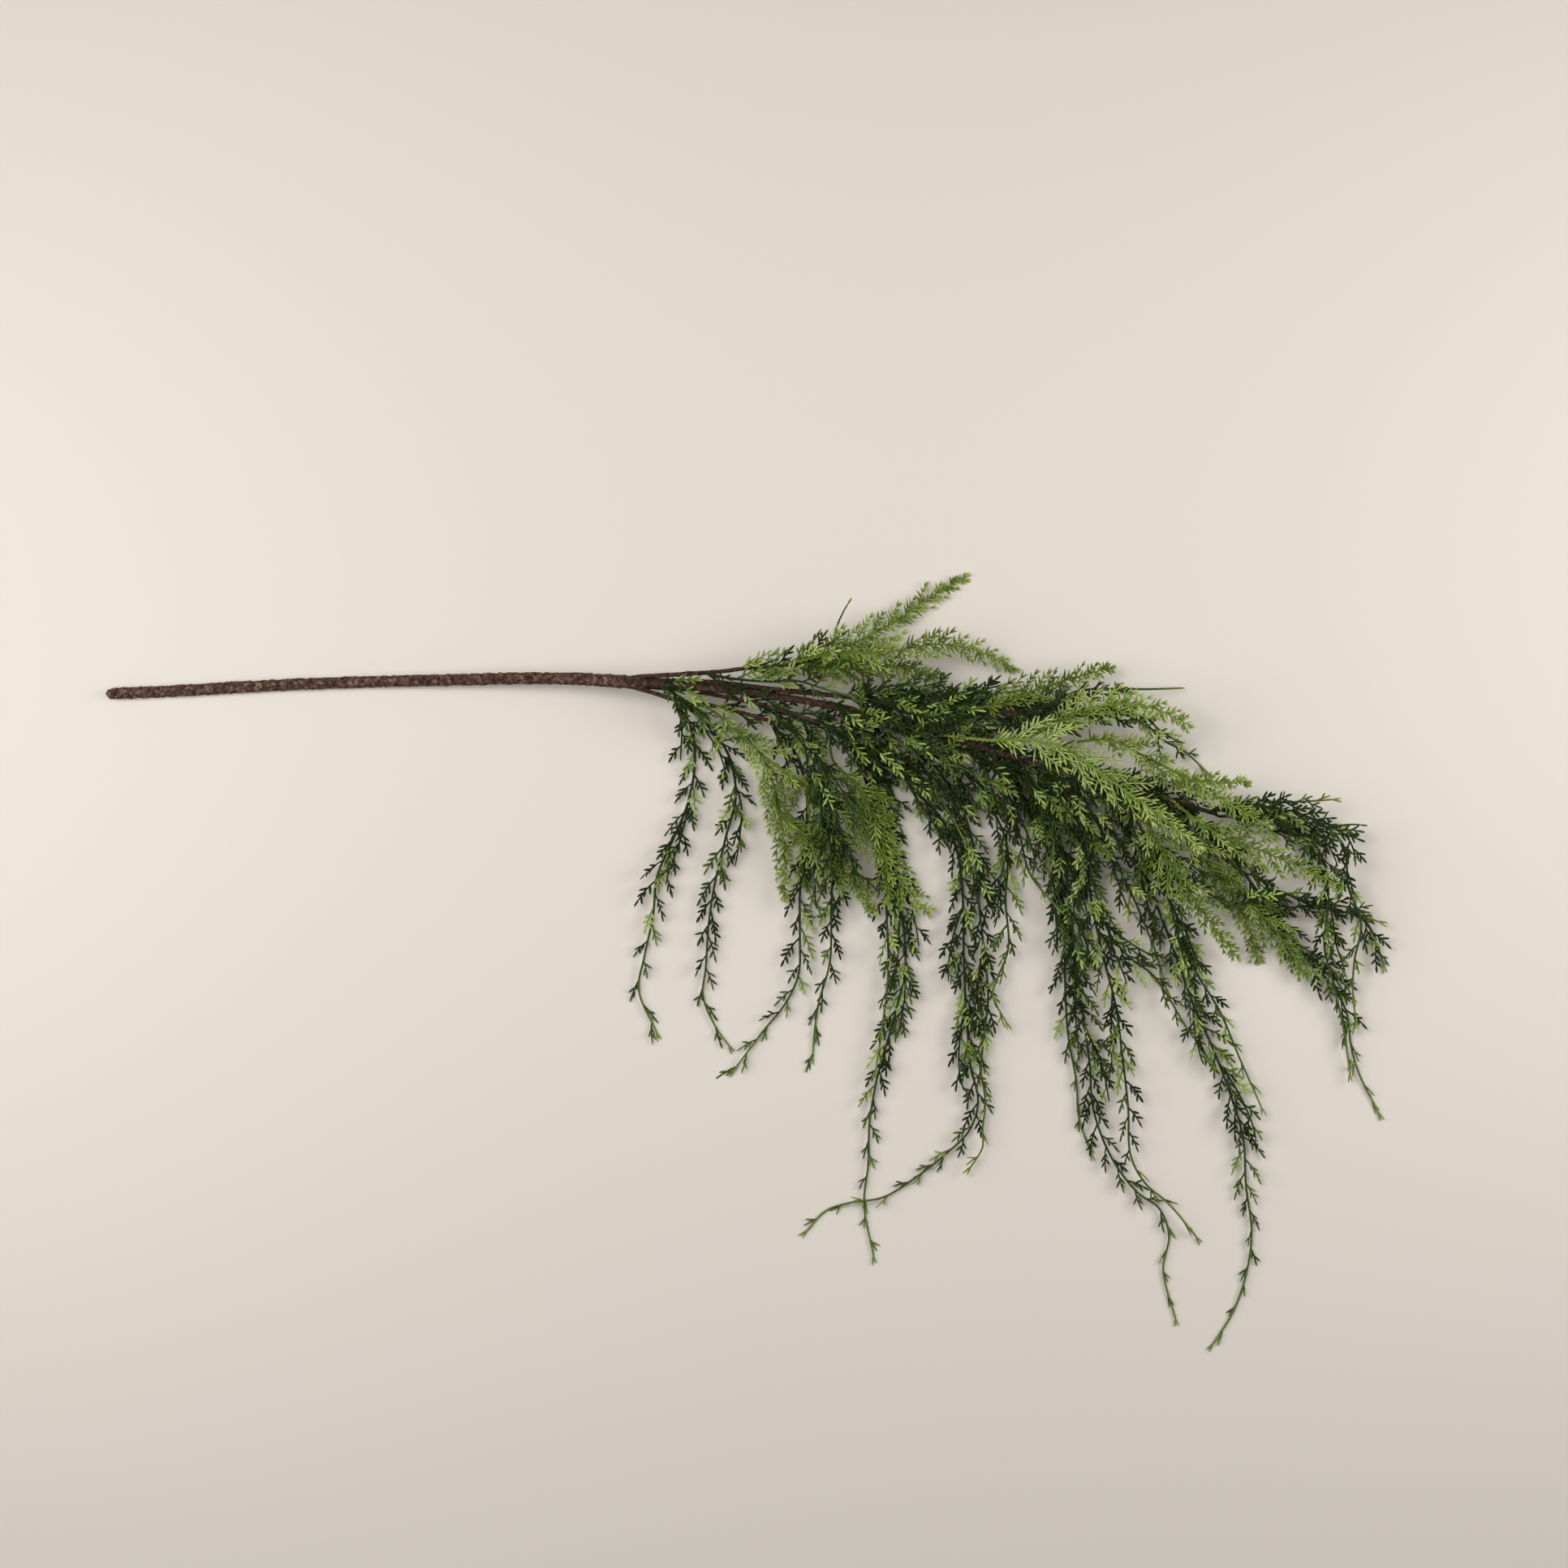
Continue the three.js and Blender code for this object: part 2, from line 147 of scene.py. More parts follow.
def rodTemplate(stations, width, thickness):
    bm = bmesh.new()
    bmesh.ops.create_cone(bm, cap_ends=True, segments=4, radius1=1, radius2=1, depth=1)
    for x in stations[1:-1]:
        geom = bm.verts[:] + bm.edges[:] + bm.faces[:]
        bmesh.ops.bisect_plane(bm, geom=geom, plane_co=(0, 0, x - 0.5), plane_no=(0, 0, 1))
    for v in bm.verts:
        x = v.co.z + 0.5
        wide, thick = np.interp(x, stations, width), np.interp(x, stations, thickness)
        v.co = Vector((x, v.co.y * wide, v.co.x * thick))
    return trianglesOf(bm)


scaleFinger = rodTemplate([0, 0.34, 0.76, 1], [0.55, 1, 0.86, 0.2], [0.5, 0.8, 0.7, 0.15])
softNeedle = rodTemplate([0, 0.25, 0.68, 1], [0.6, 1, 0.85, 0.12], [0.45, 0.6, 0.5, 0.1])
shootRod = rodTemplate([0, 0.33, 0.67, 1], [1, 0.9, 0.8, 0.65], [1, 0.9, 0.8, 0.65])


# A tube of any length: a grid rolled up along a line
def tubeMesh(line, radiusAt, sides, rings):
    bm = bmesh.new()
    bmesh.ops.create_grid(bm, x_segments=rings, y_segments=sides, size=0.5)
    side, up = framesOf(line)[1:]
    lengths = pathLengths(line)
    for v in bm.verts:
        share, turn = min(1, max(0, v.co.x + 0.5)), round((v.co.y + 0.5) * sides) % sides / sides
        at = share * lengths[-1]
        i = min(len(line) - 2, int(np.searchsorted(lengths, at, "right")) - 1)
        f = (at - lengths[i]) / (lengths[i + 1] - lengths[i])
        r = radiusAt(share, turn)
        out = math.cos(turn * math.tau) * side[i] + math.sin(turn * math.tau) * up[i]
        v.co = Vector(line[i] * (1 - f) + line[i + 1] * f + out * r)
    bmesh.ops.remove_doubles(bm, verts=bm.verts[:], dist=1e-4)
    bmesh.ops.holes_fill(bm, edges=[e for e in bm.edges if e.is_boundary], sides=0)
    return trianglesOf(bm)


# One piece in the making: copies of small parts, joined into one mesh
class Growth:
    def __init__(self):
        self.points, self.faces, self.fresh, self.count = [], [], [], 0
        self.rods = {}

    def addMesh(self, points, faces, fresh):
        self.points.append(points)
        self.faces.append(faces + self.count)
        self.fresh.append(np.broadcast_to(fresh, len(points)))
        self.count += len(points)

    # A straight part with its place, direction, flat side, size and tone at both ends, painted shade included
    def addRod(self, template, start, ahead, up, length, width, fresh):
        rows = self.rods.setdefault(id(template), (template, []))[1]
        rows.append((*start, *ahead, *up, length, width, *fresh))

    # A shoot's own stem, bent along a short curve
    def addShoot(self, curve, up, radius, fresh):
        points, faces = shootRod
        share = np.round(points[:, 0] * (len(curve) - 1)).astype(int)
        ahead = unit(np.gradient(curve, axis=0))
        side = unit(np.cross(up, ahead))
        lift = np.cross(ahead, side)
        place = curve[share] + side[share] * points[:, 1:2] * radius + lift[share] * points[:, 2:3] * radius
        self.addMesh(place, faces, fresh[0] + (fresh[1] - fresh[0]) * points[:, 0])

    # The joined mesh, no lower than the given height above the floor
    def finish(self, name, node, material, lowest=0.2):
        for (points, faces), rows in self.rods.values():
            r = np.array(rows)
            start, ahead = r[:, None, 0:3], unit(r[:, None, 3:6])
            length, width = r[:, None, 9:10], r[:, None, 10:11]
            side = unit(np.cross(r[:, None, 6:9], ahead))
            up = np.cross(ahead, side)
            place = start + ahead * points[None, :, 0:1] * length
            place = place + side * points[None, :, 1:2] * width + up * points[None, :, 2:3] * width
            fresh = r[:, 11:12] + (r[:, 12:13] - r[:, 11:12]) * points[None, :, 0]
            shift = (np.arange(len(r)) * len(points))[:, None, None]
            self.addMesh(place.reshape(-1, 3), (faces[None] + shift).reshape(-1, 3), fresh.reshape(-1))
        points = np.vstack(self.points)
        points[:, 2] = np.maximum(points[:, 2], lowest)
        obj = meshObject(name, (points + cutEnd) * mm, np.vstack(self.faces))
        shade = obj.data.attributes.new("fresh", "FLOAT", "POINT")
        shade.data.foreach_set("value", np.concatenate(self.fresh).astype(np.float32))
        dress(obj, node, material)
        return len(obj.data.polygons)


def meshObject(name, points, faces):
    mesh = bpy.data.meshes.new(name)
    mesh.vertices.add(len(points))
    mesh.vertices.foreach_set("co", points.astype(np.float32).ravel())
    mesh.loops.add(len(faces) * 3)
    mesh.loops.foreach_set("vertex_index", faces.astype(np.int32).ravel())
    mesh.polygons.add(len(faces))
    mesh.polygons.foreach_set("loop_start", np.arange(len(faces), dtype=np.int32) * 3)
    mesh.update(calc_edges=True)
    mesh.validate()
    mesh.shade_smooth()
    obj = bpy.data.objects.new(name, mesh)
    scene.collection.objects.link(obj)
    return obj


def dress(obj, node, material):
    obj.data.materials.append(material)
    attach(obj, "root")
    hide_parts(node)


# Materials

# A node with some of its inputs set
def addNode(nodes, kind, *values):
    node = nodes.new("ShaderNode" + kind)
    for key, value in values:
        node.inputs[key].default_value = value
    return node


# Fine mottling that breaks up an even colour, and a height for the bump
def makeMottle():
    group = bpy.data.node_groups.new("mottle", "ShaderNodeTree")
    sockets = (("Colour", "INPUT", "Color"), ("Dark", "INPUT", "Float"), ("Size", "INPUT", "Float"),
               ("Colour", "OUTPUT", "Color"), ("Height", "OUTPUT", "Float"))
    for name, way, kind in sockets:
        group.interface.new_socket(name, in_out=way, socket_type="NodeSocket" + kind)
    nodes, links = group.nodes, group.links
    inputs, outputs = nodes.new("NodeGroupInput"), nodes.new("NodeGroupOutput")
    where = addNode(nodes, "TexCoord")
    blotches = addNode(nodes, "TexNoise", ("Detail", 5), ("Roughness", 0.62))
    spread = addNode(nodes, "MapRange", ("From Min", 0.3), ("From Max", 0.7))
    shade = addNode(nodes, "Mix")
    shade.data_type, shade.blend_type = "RGBA", "MULTIPLY"
    shade.inputs["Factor"].default_value = 1
    grey = addNode(nodes, "CombineColor")
    links.new(where.outputs["Object"], blotches.inputs["Vector"])
    links.new(inputs.outputs["Size"], blotches.inputs["Scale"])
    links.new(blotches.outputs["Fac"], spread.inputs["Value"])
    links.new(inputs.outputs["Dark"], spread.inputs["To Min"])
    for i in range(3):
        links.new(spread.outputs["Result"], grey.inputs[i])
    links.new(inputs.outputs["Colour"], shade.inputs["A"])
    links.new(grey.outputs["Color"], shade.inputs["B"])
    links.new(shade.outputs["Result"], outputs.inputs["Colour"])
    links.new(blotches.outputs["Fac"], outputs.inputs["Height"])
    return group


mottle = makeMottle()


def newMaterial(name, roughness, shine):
    material = bpy.data.materials.new(name)
    material.use_nodes = True
    shader = material.node_tree.nodes["Principled BSDF"]
    shader.inputs["Roughness"].default_value = roughness
    shader.inputs["Specular IOR Level"].default_value = shine
    return material, material.node_tree.nodes, material.node_tree.links, shader


def ramp(nodes, stops):
    node = addNode(nodes, "ValToRGB")
    bar = node.color_ramp.elements
    while len(bar) < len(stops):
        bar.new(0.5)
    for element, (at, colour) in zip(bar, stops):
        element.position, element.color = at, linear(colour)
    return node


def useMottle(nodes, links, shader, colour, dark, size, bump):
    spots = addNode(nodes, "Group")
    spots.node_tree = mottle
    spots.inputs["Dark"].default_value = dark
    spots.inputs["Size"].default_value = size
    relief = addNode(nodes, "Bump", ("Strength", bump), ("Distance", 0.4 * mm))
    links.new(colour, spots.inputs["Colour"])
    links.new(spots.outputs["Colour"], shader.inputs["Base Color"])
    links.new(spots.outputs["Height"], relief.inputs["Height"])
    links.new(relief.outputs["Normal"], shader.inputs["Normal"])


# Moulded leaves: dark where old, pale yellow green where fresh, with bluish patches here and there; each
# needle's darker foot is painted shade
def leafMaterial(name, stops, coolStops, coolShare, roughness, dark, size):
    material, nodes, links, shader = newMaterial(name, roughness, shine=0.1)
    age = addNode(nodes, "Attribute")
    age.attribute_name = "fresh"
    warm, cool = ramp(nodes, stops), ramp(nodes, coolStops)
    where = addNode(nodes, "TexCoord")
    drift = addNode(nodes, "TexNoise", ("Scale", 90), ("Detail", 1))
    edge = addNode(nodes, "MapRange", ("From Min", 0.56 - coolShare * 0.3),
                   ("From Max", 0.66 - coolShare * 0.3))
    blend = addNode(nodes, "Mix")
    blend.data_type = "RGBA"
    links.new(where.outputs["Object"], drift.inputs["Vector"])
    links.new(drift.outputs["Fac"], edge.inputs["Value"])
    links.new(edge.outputs["Result"], blend.inputs["Factor"])
    links.new(age.outputs["Fac"], warm.inputs["Fac"])
    links.new(age.outputs["Fac"], cool.inputs["Fac"])
    links.new(warm.outputs["Color"], blend.inputs["A"])
    links.new(cool.outputs["Color"], blend.inputs["B"])
    useMottle(nodes, links, shader, blend.outputs["Result"], dark, size, bump=0.35)
    return material


scaleLeaf = leafMaterial(
    "scale_leaf",
    [(0, "20290a"), (0.3, "374415"), (0.55, "5a6b28"), (0.8, "8a9c44"), (1, "c6d47a")],
    [(0, "1d2a14"), (0.3, "334725"), (0.55, "536a36"), (0.8, "7f9a4c"), (1, "b4cb74")],
    coolShare=0.42, roughness=0.5, dark=0.62, size=420)
needleLeaf = leafMaterial(
    "needle_leaf",
    [(0, "2a3609"), (0.35, "51631f"), (0.65, "82943a"), (1, "cad77f")],
    [(0, "29380b"), (0.35, "506420"), (0.65, "7b953c"), (1, "bcd27c")],
    coolShare=0.3, roughness=0.5, dark=0.7, size=380)


# Bark: dark brown, wound on aslant, with pale grit caught in it; on the stem the ramp paints shade into the
# grooves and light onto the ridges, on the twigs it follows a random tone
def barkMaterial(name, stops, grit):
    material, nodes, links, shader = newMaterial(name, roughness=0.86, shine=0.15)
    lift = addNode(nodes, "Attribute")
    lift.attribute_name = "fresh"
    colours = ramp(nodes, stops)
    links.new(lift.outputs["Fac"], colours.inputs["Fac"])
    where = addNode(nodes, "TexCoord")
    grains = addNode(nodes, "TexNoise", ("Scale", 520), ("Detail", 3), ("Roughness", 0.7))
    rare = addNode(nodes, "MapRange", ("From Min", 0.72 - grit), ("From Max", 0.77 - grit))
    speck = addNode(nodes, "Mix")
    speck.data_type = "RGBA"
    speck.inputs["B"].default_value = linear("c4ab90")
    links.new(where.outputs["Object"], grains.inputs["Vector"])
    links.new(grains.outputs["Fac"], rare.inputs["Value"])
    links.new(rare.outputs["Result"], speck.inputs["Factor"])
    links.new(colours.outputs["Color"], speck.inputs["A"])
    useMottle(nodes, links, shader, speck.outputs["Result"], dark=0.45, size=900, bump=0.7)
    return material


stemBark = barkMaterial("stem_bark", [(0, "2b1e17"), (0.5, "63493e"), (1, "a38674")], grit=0.06)
twigBark = barkMaterial("twig_bark", [(0, "22160f"), (0.5, "4b362b"), (1, "786151")], grit=0.03)

print("templates and materials are ready")


# Stem

stem = {
    "line": [[0, 0, 3.81], [60, 2.6, 3.98], [110, 5.6, 4.02], [150, 7.3, 4.1], [200, 8.8, 5.5],
             [250, 9.9, 9.5], [300, 10.7, 16], [340, 9.8, 22.5], [372, 7.6, 28], [383, 6.6, 29.7]],
    "radius": [[0, 0.35], [0.004, 2.6], [0.011, 3.7], [0.025, 4.05], [0.5, 3.95], [0.8, 4.1],
               [0.9, 4.5], [0.955, 4.7], [0.985, 4.1], [1, 2.6]],  # by share of the length
    "sides": 36,
    "rings": 620,
    "winding": 9.5,  # mm from one turn of the bark to the next
    "relief": 0.62,
    "lift": 0.1,     # over the solid's own line
    "lowest": 0.12,
}


def makeStem():
    line = smoothLine(stem["line"])
    line[:, 2] += stem["lift"]
    length = pathLengths(line)[-1]
    places, sizes = zip(*stem["radius"])

    def radiusAt(share, turn):
        at = share * length
        wrap = abs(math.sin(math.pi * (at / stem["winding"] + turn)))
        spot = Vector((at * 0.35, math.cos(turn * math.tau) * 1.6, math.sin(turn * math.tau) * 1.6))
        coarse, fine = noise.noise(spot * 0.9), noise.noise(spot * 2.3)
        cracks = 1 - abs(noise.noise(Vector((at * 0.3 + turn * 7, turn * 22, 4))))
        relief = stem["relief"] * (0.35 * wrap ** 0.6 - 0.25 + coarse * 1.1 + fine * 0.9 - 0.5 * cracks ** 9)
        r = float(np.interp(share, places, sizes))
        return max(0.3, r + relief * min(1, r / 3))

    points, faces = tubeMesh(line, radiusAt, stem["sides"], stem["rings"])
    points[:, 2] = np.maximum(points[:, 2], stem["lowest"])
    centre = line[np.clip(np.searchsorted(line[:, 0], points[:, 0]), 0, len(line) - 1)]
    out = np.linalg.norm(points - centre, axis=1)
    base = np.interp(points[:, 0] / length, places, sizes)
    growth = Growth()
    # Painted shade and light: bark below its mean radius, in the grooves, is coloured darker, and the raised
    # ridges paler
    growth.addMesh(points, faces, np.clip(0.5 + (out - base) * 0.75, 0, 1))
    return growth.finish("bark_stem", "stem", stemBark, stem["lowest"])


# Twigs

twigs = {
    "upper_twig": {"radius": [1.65, 1.35], "line": [
        [366, 10, 28], [373.5, 11.4, 28.4], [400, 13, 30.5], [430, 15, 32.5], [450, 17.5, 33],
        [470, 19.2, 32], [487, 21.5, 30]]},
    "main_twig": {"radius": [2.9, 1.5], "line": [
        [366, 8, 29.5], [373.5, 7.6, 30.2], [430, 3, 33], [470, -2, 35], [520, -10.8, 36.5], [560, -20, 37.5],
        [590, -30, 37.5], [640, -46, 34.5], [690, -61, 28.5], [730, -70, 22], [780, -84.5, 12]]},
    "second_twig": {"radius": [2.0, 1.3], "line": [
        [366, 8.6, 25.8], [373.5, 8.9, 26], [400, 8.5, 27.4], [430, 7.3, 30.6], [470, 2.6, 35],
        [520, -2.6, 38], [570, -9, 40], [612, -12, 40], [658, -14, 39]]},
    "middle_twig": {"radius": [1.6, 1.25], "line": [
        [366, 6, 26.4], [373.5, 5.1, 26.4], [400, 3, 26], [420, 0.4, 27], [440, -3.6, 29], [460, -8, 30],
        [482, -14.5, 31], [522, -27, 32]]},
    "lower_twig": {"radius": [1.6, 1.25], "line": [
        [366, 5.4, 28.9], [373.5, 3.6, 29.1], [385, 0.3, 28], [397, -3.6, 27], [420, -7.4, 25],
        [440, -11.8, 24], [470, -19.8, 23]]},
}
twigLines = {name: smoothLine(twig["line"]) for name, twig in twigs.items()}


def makeTwig(name):
    line = twigLines[name]
    length = pathLengths(line)[-1]
    thick, thin = twigs[name]["radius"]

    def radiusAt(share, turn):
        at = share * length
        spot = Vector((at * 0.3, math.cos(turn * math.tau), math.sin(turn * math.tau)))
        bumps = noise.noise(spot * 0.8) * 0.22 + noise.noise(spot * 2.6) * 0.14
        knot = 0.35 * max(0, math.sin(at * 0.13 + thick * 9)) ** 12
        tip = math.sqrt(max(0.02, min(1, (1 - share) * length / 1.6)))
        return (thick + (thin - thick) * share + bumps + knot) * tip

    points, faces = tubeMesh(line, radiusAt, sides=12, rings=int(length / 1.1))
    growth = Growth()
    shade = [0.5 + 0.6 * noise.noise(Vector(p) * 0.5) for p in points]
    growth.addMesh(points, faces, np.clip(shade, 0, 1))
    return growth.finish("bark_" + name, name, twigBark)


# Cedar strands

strandRoutes = {
    "strand_5": {"wide": 11, "line": [
        [510, -24], [530, -44], [545, -74], [553, -110], [558, -150], [561, -190], [553, -228], [542, -266],
        [536, -300], [535, -330], [532, -358], [539, -396]]},
    "strand_6": {"wide": 11, "line": [
        [536, -13], [552, -46], [566, -66], [583, -84], [596, -106], [601, -140], [602, -185], [604, -230],
        [607, -262], [612, -286], [606, -306], [588, -324], [566, -341], [546, -353], [522, -357],
        [505, -363], [491, -378]]},
    "strand_30": {"wide": 9.5, "line": [
        [622, -40], [648, -80], [664, -120], [672, -160], [673, -200], [675, -238], [681, -272], [683, -298],
        [692, -324]]},
    "strand_9": {"wide": 11, "line": [
        [632, -43], [655, -72], [670, -105], [676, -145], [680, -185], [685, -222], [690, -258], [693, -292],
        [706, -326], [724, -350], [739, -361], [746, -380], [742, -404], [751, -440]]},
    "strand_12": {"wide": 11, "line": [
        [694, -62], [714, -92], [736, -145], [750, -182], [763, -218], [778, -252], [790, -284], [798, -312],
        [800, -345], [804, -378], [800, -408], [791, -434], [776, -458]]},
    "strand_15": {"wide": 11, "line": [
        [757, -78], [783, -104], [806, -136], [826, -160], [840, -183], [858, -202], [870, -222], [874, -248],
        [880, -268], [894, -295]]},
    "strand_7": {"wide": 9.5, "line": [
        [556, -18], [584, -54], [600, -80], [609, -108], [612, -142], [616, -180], [619, -212], [616, -240],
        [614, -264], [617, -286], [615, -306], [615, -318], [606, -333]]},
    "strand_10": {"wide": 11, "line": [
        [652, -49], [674, -76], [686, -112], [692, -150], [700, -186], [708, -218], [713, -255], [717, -290],
        [719, -324], [729, -343], [746, -358], [766, -382]]},
    "strand_8": {"wide": 11, "line": [
        [584, -27], [606, -60], [622, -82], [632, -106], [631, -145], [633, -178], [626, -198], [622, -211],
        [632, -231]]},
    "strand_11": {"wide": 11, "line": [
        [674, -56], [698, -96], [716, -134], [728, -160], [738, -186], [745, -212]]},
    "strand_20": {"wide": 9.5, "line": [[612, -37], [632, -70], [641, -100], [648, -126], [668, -151]]},
    "strand_21": {"wide": 7, "line": [
        [714, -66], [727, -98], [740, -130], [753, -162], [763, -192], [781, -222], [795, -255],
        [811, -291]]},
    "strand_29": {"wide": 9.5, "line": [
        [664, -53], [680, -88], [690, -125], [702, -165], [717, -184], [734, -197], [746, -214], [756, -231],
        [778, -262]]},
    "strand_31": {"wide": 9.5, "full": 0.5, "line": [
        [520, -9], [534, -44], [542, -80], [546, -120], [548, -160], [549, -196], [545, -232], [540, -266]]},
    "strand_1": {"wide": 11, "full": 0.45, "pitch": 9.5, "line": [
        [399, -4.2], [411, -24], [413, -52], [408, -78], [399, -100], [387, -128], [384, -156], [378, -184],
        [374, -208], [387, -239]]},
    "strand_2": {"wide": 11, "full": 0.5, "pitch": 9.5, "line": [
        [406, -5.4], [424, -24], [437, -43], [442, -72], [435, -101], [427, -135], [423, -162], [421, -192],
        [419, -212], [428, -234], [438, -248]]},
    "strand_3": {"wide": 11, "full": 0.5, "pitch": 9, "line": [
        [464, -18], [484, -42], [492, -74], [490, -106], [487, -140], [487, -170], [486, -197], [477, -217],
        [461, -237], [440, -265]]},
    "strand_4": {"wide": 9.5, "full": 0.5, "pitch": 9, "line": [
        [487, -16], [503, -46], [508, -80], [510, -115], [509, -150], [508, -188], [500, -218], [497, -240],
        [496, -256]]},
    "strand_22": {"wide": 7, "line": [[472, -19], [490, -33], [500, -62], [503, -92], [506, -128]]},
    "strand_14": {"wide": 7, "line": [[792, -148], [818, -138], [845, -148], [868, -153], [894, -160]]},
    "strand_16": {"wide": 9.5, "line": [
        [780, -86], [812, -86], [842, -99], [855, -120], [856, -148], [854, -176], [861, -204], [868, -234],
        [873, -268]]},
    "strand_13": {"wide": 9.5, "full": 0.5, "line": [
        [774, -82], [812, -80], [846, -88], [866, -105], [870, -136], [879, -160], [875, -186], [874, -210],
        [877, -231]]},
    "strand_19": {"wide": 7, "line": [[776, -80], [800, -76], [830, -76], [861, -74]]},
    "strand_23": {"wide": 9.5, "full": 0.5, "line": [[878, -152], [889, -168], [894, -182], [897, -191]]},
    "strand_24": {"wide": 9.5, "full": 1.8, "line": [
        [500, -20], [534, -36], [560, -52], [584, -72], [603, -104]]},
    "strand_25": {"wide": 9.5, "full": 2.1, "line": [
        [508, -6], [540, -22], [572, -34], [600, -52], [628, -66]]},
    "strand_26": {"wide": 9.5, "bare": 0.36, "full": 0.7, "line": [
        [420, 14], [440, 10], [464, 8], [486, 8], [506, 2], [530, -4]]},
    "strand_27": {"wide": 9.5, "full": 0.8, "line": [[640, -46], [652, -66], [662, -88], [664, -118]]},
    "strand_28": {"wide": 8, "full": 2.6, "line": [[540, -6], [566, -10], [592, -10], [618, -2], [640, 2]]},
    "strand_18": {"wide": 4, "full": 0.5, "to": 0.66, "line": [
        [648, -14], [680, 1], [705, 3], [730, 3], [757, 4]]},
    "strand_17": {"wide": 7, "full": 1.0, "line": [
        [676, -16], [704, -12], [724, -18], [740, -32], [757, -41], [774, -56]]},
}

needleRoutes = {
    "needles_1": {"wide": 19, "bare": 0.04, "bright": 0.59, "needle": 0.88, "pitch": 6.6, "line": [
        [478, 20], [500, 25], [520, 33], [541, 43], [562, 56], [582, 70], [602, 82]]},
    "needles_3": {"wide": 13, "bare": 0.06, "bright": 0.46, "needle": 0.9, "line": [
        [487, 21], [520, 17], [550, 19], [570, 16], [585, 10]]},
    "needles_2": {"wide": 18, "bare": 0.1, "bright": 0.6, "needle": 0.92, "pitch": 6.4, "line": [
        [482, 21], [514, 28], [545, 28], [567, 32], [590, 34], [614, 29], [637, 18]]},
    "needles_4": {"wide": 20, "bare": 0.22, "bright": 0.62, "needle": 1.0, "line": [
        [403, -5], [424, -11], [442, -26], [460, -43], [468, -62], [473, -85], [476, -110], [476, -141]]},
    "needles_5": {"wide": 24, "bare": 0.08, "bright": 0.63, "needle": 1.0, "pitch": 6.4, "line": [
        [463, -45], [484, -60], [506, -75], [527, -90], [544, -108], [556, -130], [576, -153]]},
    "needles_6": {"wide": 22, "bare": 0.08, "bright": 0.57, "needle": 1.0, "line": [
        [474, -84], [492, -100], [510, -116], [526, -134], [538, -151]]},
    "needles_16": {"wide": 19, "bare": 0.08, "bright": 0.55, "needle": 0.95, "line": [
        [512, -50], [528, -66], [540, -88], [547, -116], [550, -146]]},
    "needles_12": {"wide": 19, "bare": 0.12, "bright": 0.5, "needle": 0.85, "line": [
        [735, -72], [756, -100], [774, -122], [790, -142], [801, -162], [808, -186]]},
    "needles_13": {"wide": 17, "bare": 0.1, "bright": 0.5, "needle": 0.8, "line": [
        [790, -132], [808, -152], [826, -174], [842, -198]]},
    "needles_14": {"wide": 19, "bare": 0.1, "bright": 0.55, "needle": 0.85, "line": [
        [718, -68], [732, -96], [748, -124], [768, -152], [793, -184]]},
    "needles_11": {"wide": 19, "bare": 0.14, "bright": 0.6, "needle": 0.85, "spacing": 3.6, "line": [
        [745, -74], [775, -96], [800, -106], [826, -117], [865, -134]]},
    "needles_15": {"wide": 15, "bare": 0.14, "bright": 0.5, "needle": 0.85, "line": [
        [600, -12], [624, -8], [648, 1], [672, 9], [704, 18]]},
    "needles_10": {"wide": 14, "bare": 0.1, "bright": 0.68, "needle": 0.95, "line": [
        [676, -34], [700, -33], [716, -38], [730, -48], [748, -60], [772, -70], [812, -92]]},
    "needles_8": {"wide": 16, "bare": 0.1, "bright": 0.68, "needle": 0.9, "line": [
        [636, -34], [662, -23], [682, -13], [704, -8], [730, -10], [757, -22]]},
    "needles_9": {"wide": 9, "bare": 0.1, "bright": 0.6, "needle": 0.75, "line": [
        [738, -50], [758, -60], [778, -62], [797, -62]]},
    "needles_7": {"wide": 23, "bare": 0.16, "bright": 0.82, "needle": 1.2, "spacing": 4.2, "pitch": 8,
                  "line": [
        [590, -30], [620, -33], [648, -33], [668, -38], [686, -49], [704, -62], [728, -79], [764, -106]]},
}


def smoothStep(x, low, high):
    t = min(1, max(0, (x - low) / (high - low)))
    return t * t * (3 - 2 * t)


def strandWidth(wide, share):
    return 1.6 + (wide - 1.6) * smoothStep(share, 0.03, 0.16) * (1 - 0.78 * smoothStep(share, 0.5, 1))


def needleWidth(wide, bare, share):
    return 1.6 + (wide - 1.6) * smoothStep(share, bare, bare + 0.15) * (1 - 0.8 * max(0, share - 0.3) / 0.7)


def turned(v, axis, angle):
    cos, sin = math.cos(angle), math.sin(angle)
    return v * cos + np.cross(axis, v) * sin + axis * np.dot(axis, v) * (1 - cos)


# A bent shoot: leaves at an angle, then leans forward and sags a little
def shootCurve(start, out, ahead, length, sag):
    bend = unit(out * 0.55 + ahead * 0.6 - worldUp * sag)
    knee = start + out * length * 0.45
    end = knee + bend * length * 0.57
    t = np.linspace(0, 1, 7)[:, None]
    return start * (1 - t) ** 2 + 2 * knee * t * (1 - t) + end * t ** 2


# A shoot's direction from the strand: to one side, and somewhat up or down
def shootDirection(ahead, side, up, hand, angle, rise):
    sideways = side * hand * math.cos(rise) + up * math.sin(rise)
    return unit(ahead * math.cos(angle) + sideways * math.sin(angle))


def alongCurve(curve, share):
    place = share * (len(curve) - 1)
    i = min(len(curve) - 2, int(place))
    return curve[i] + (curve[i + 1] - curve[i]) * (place - i)


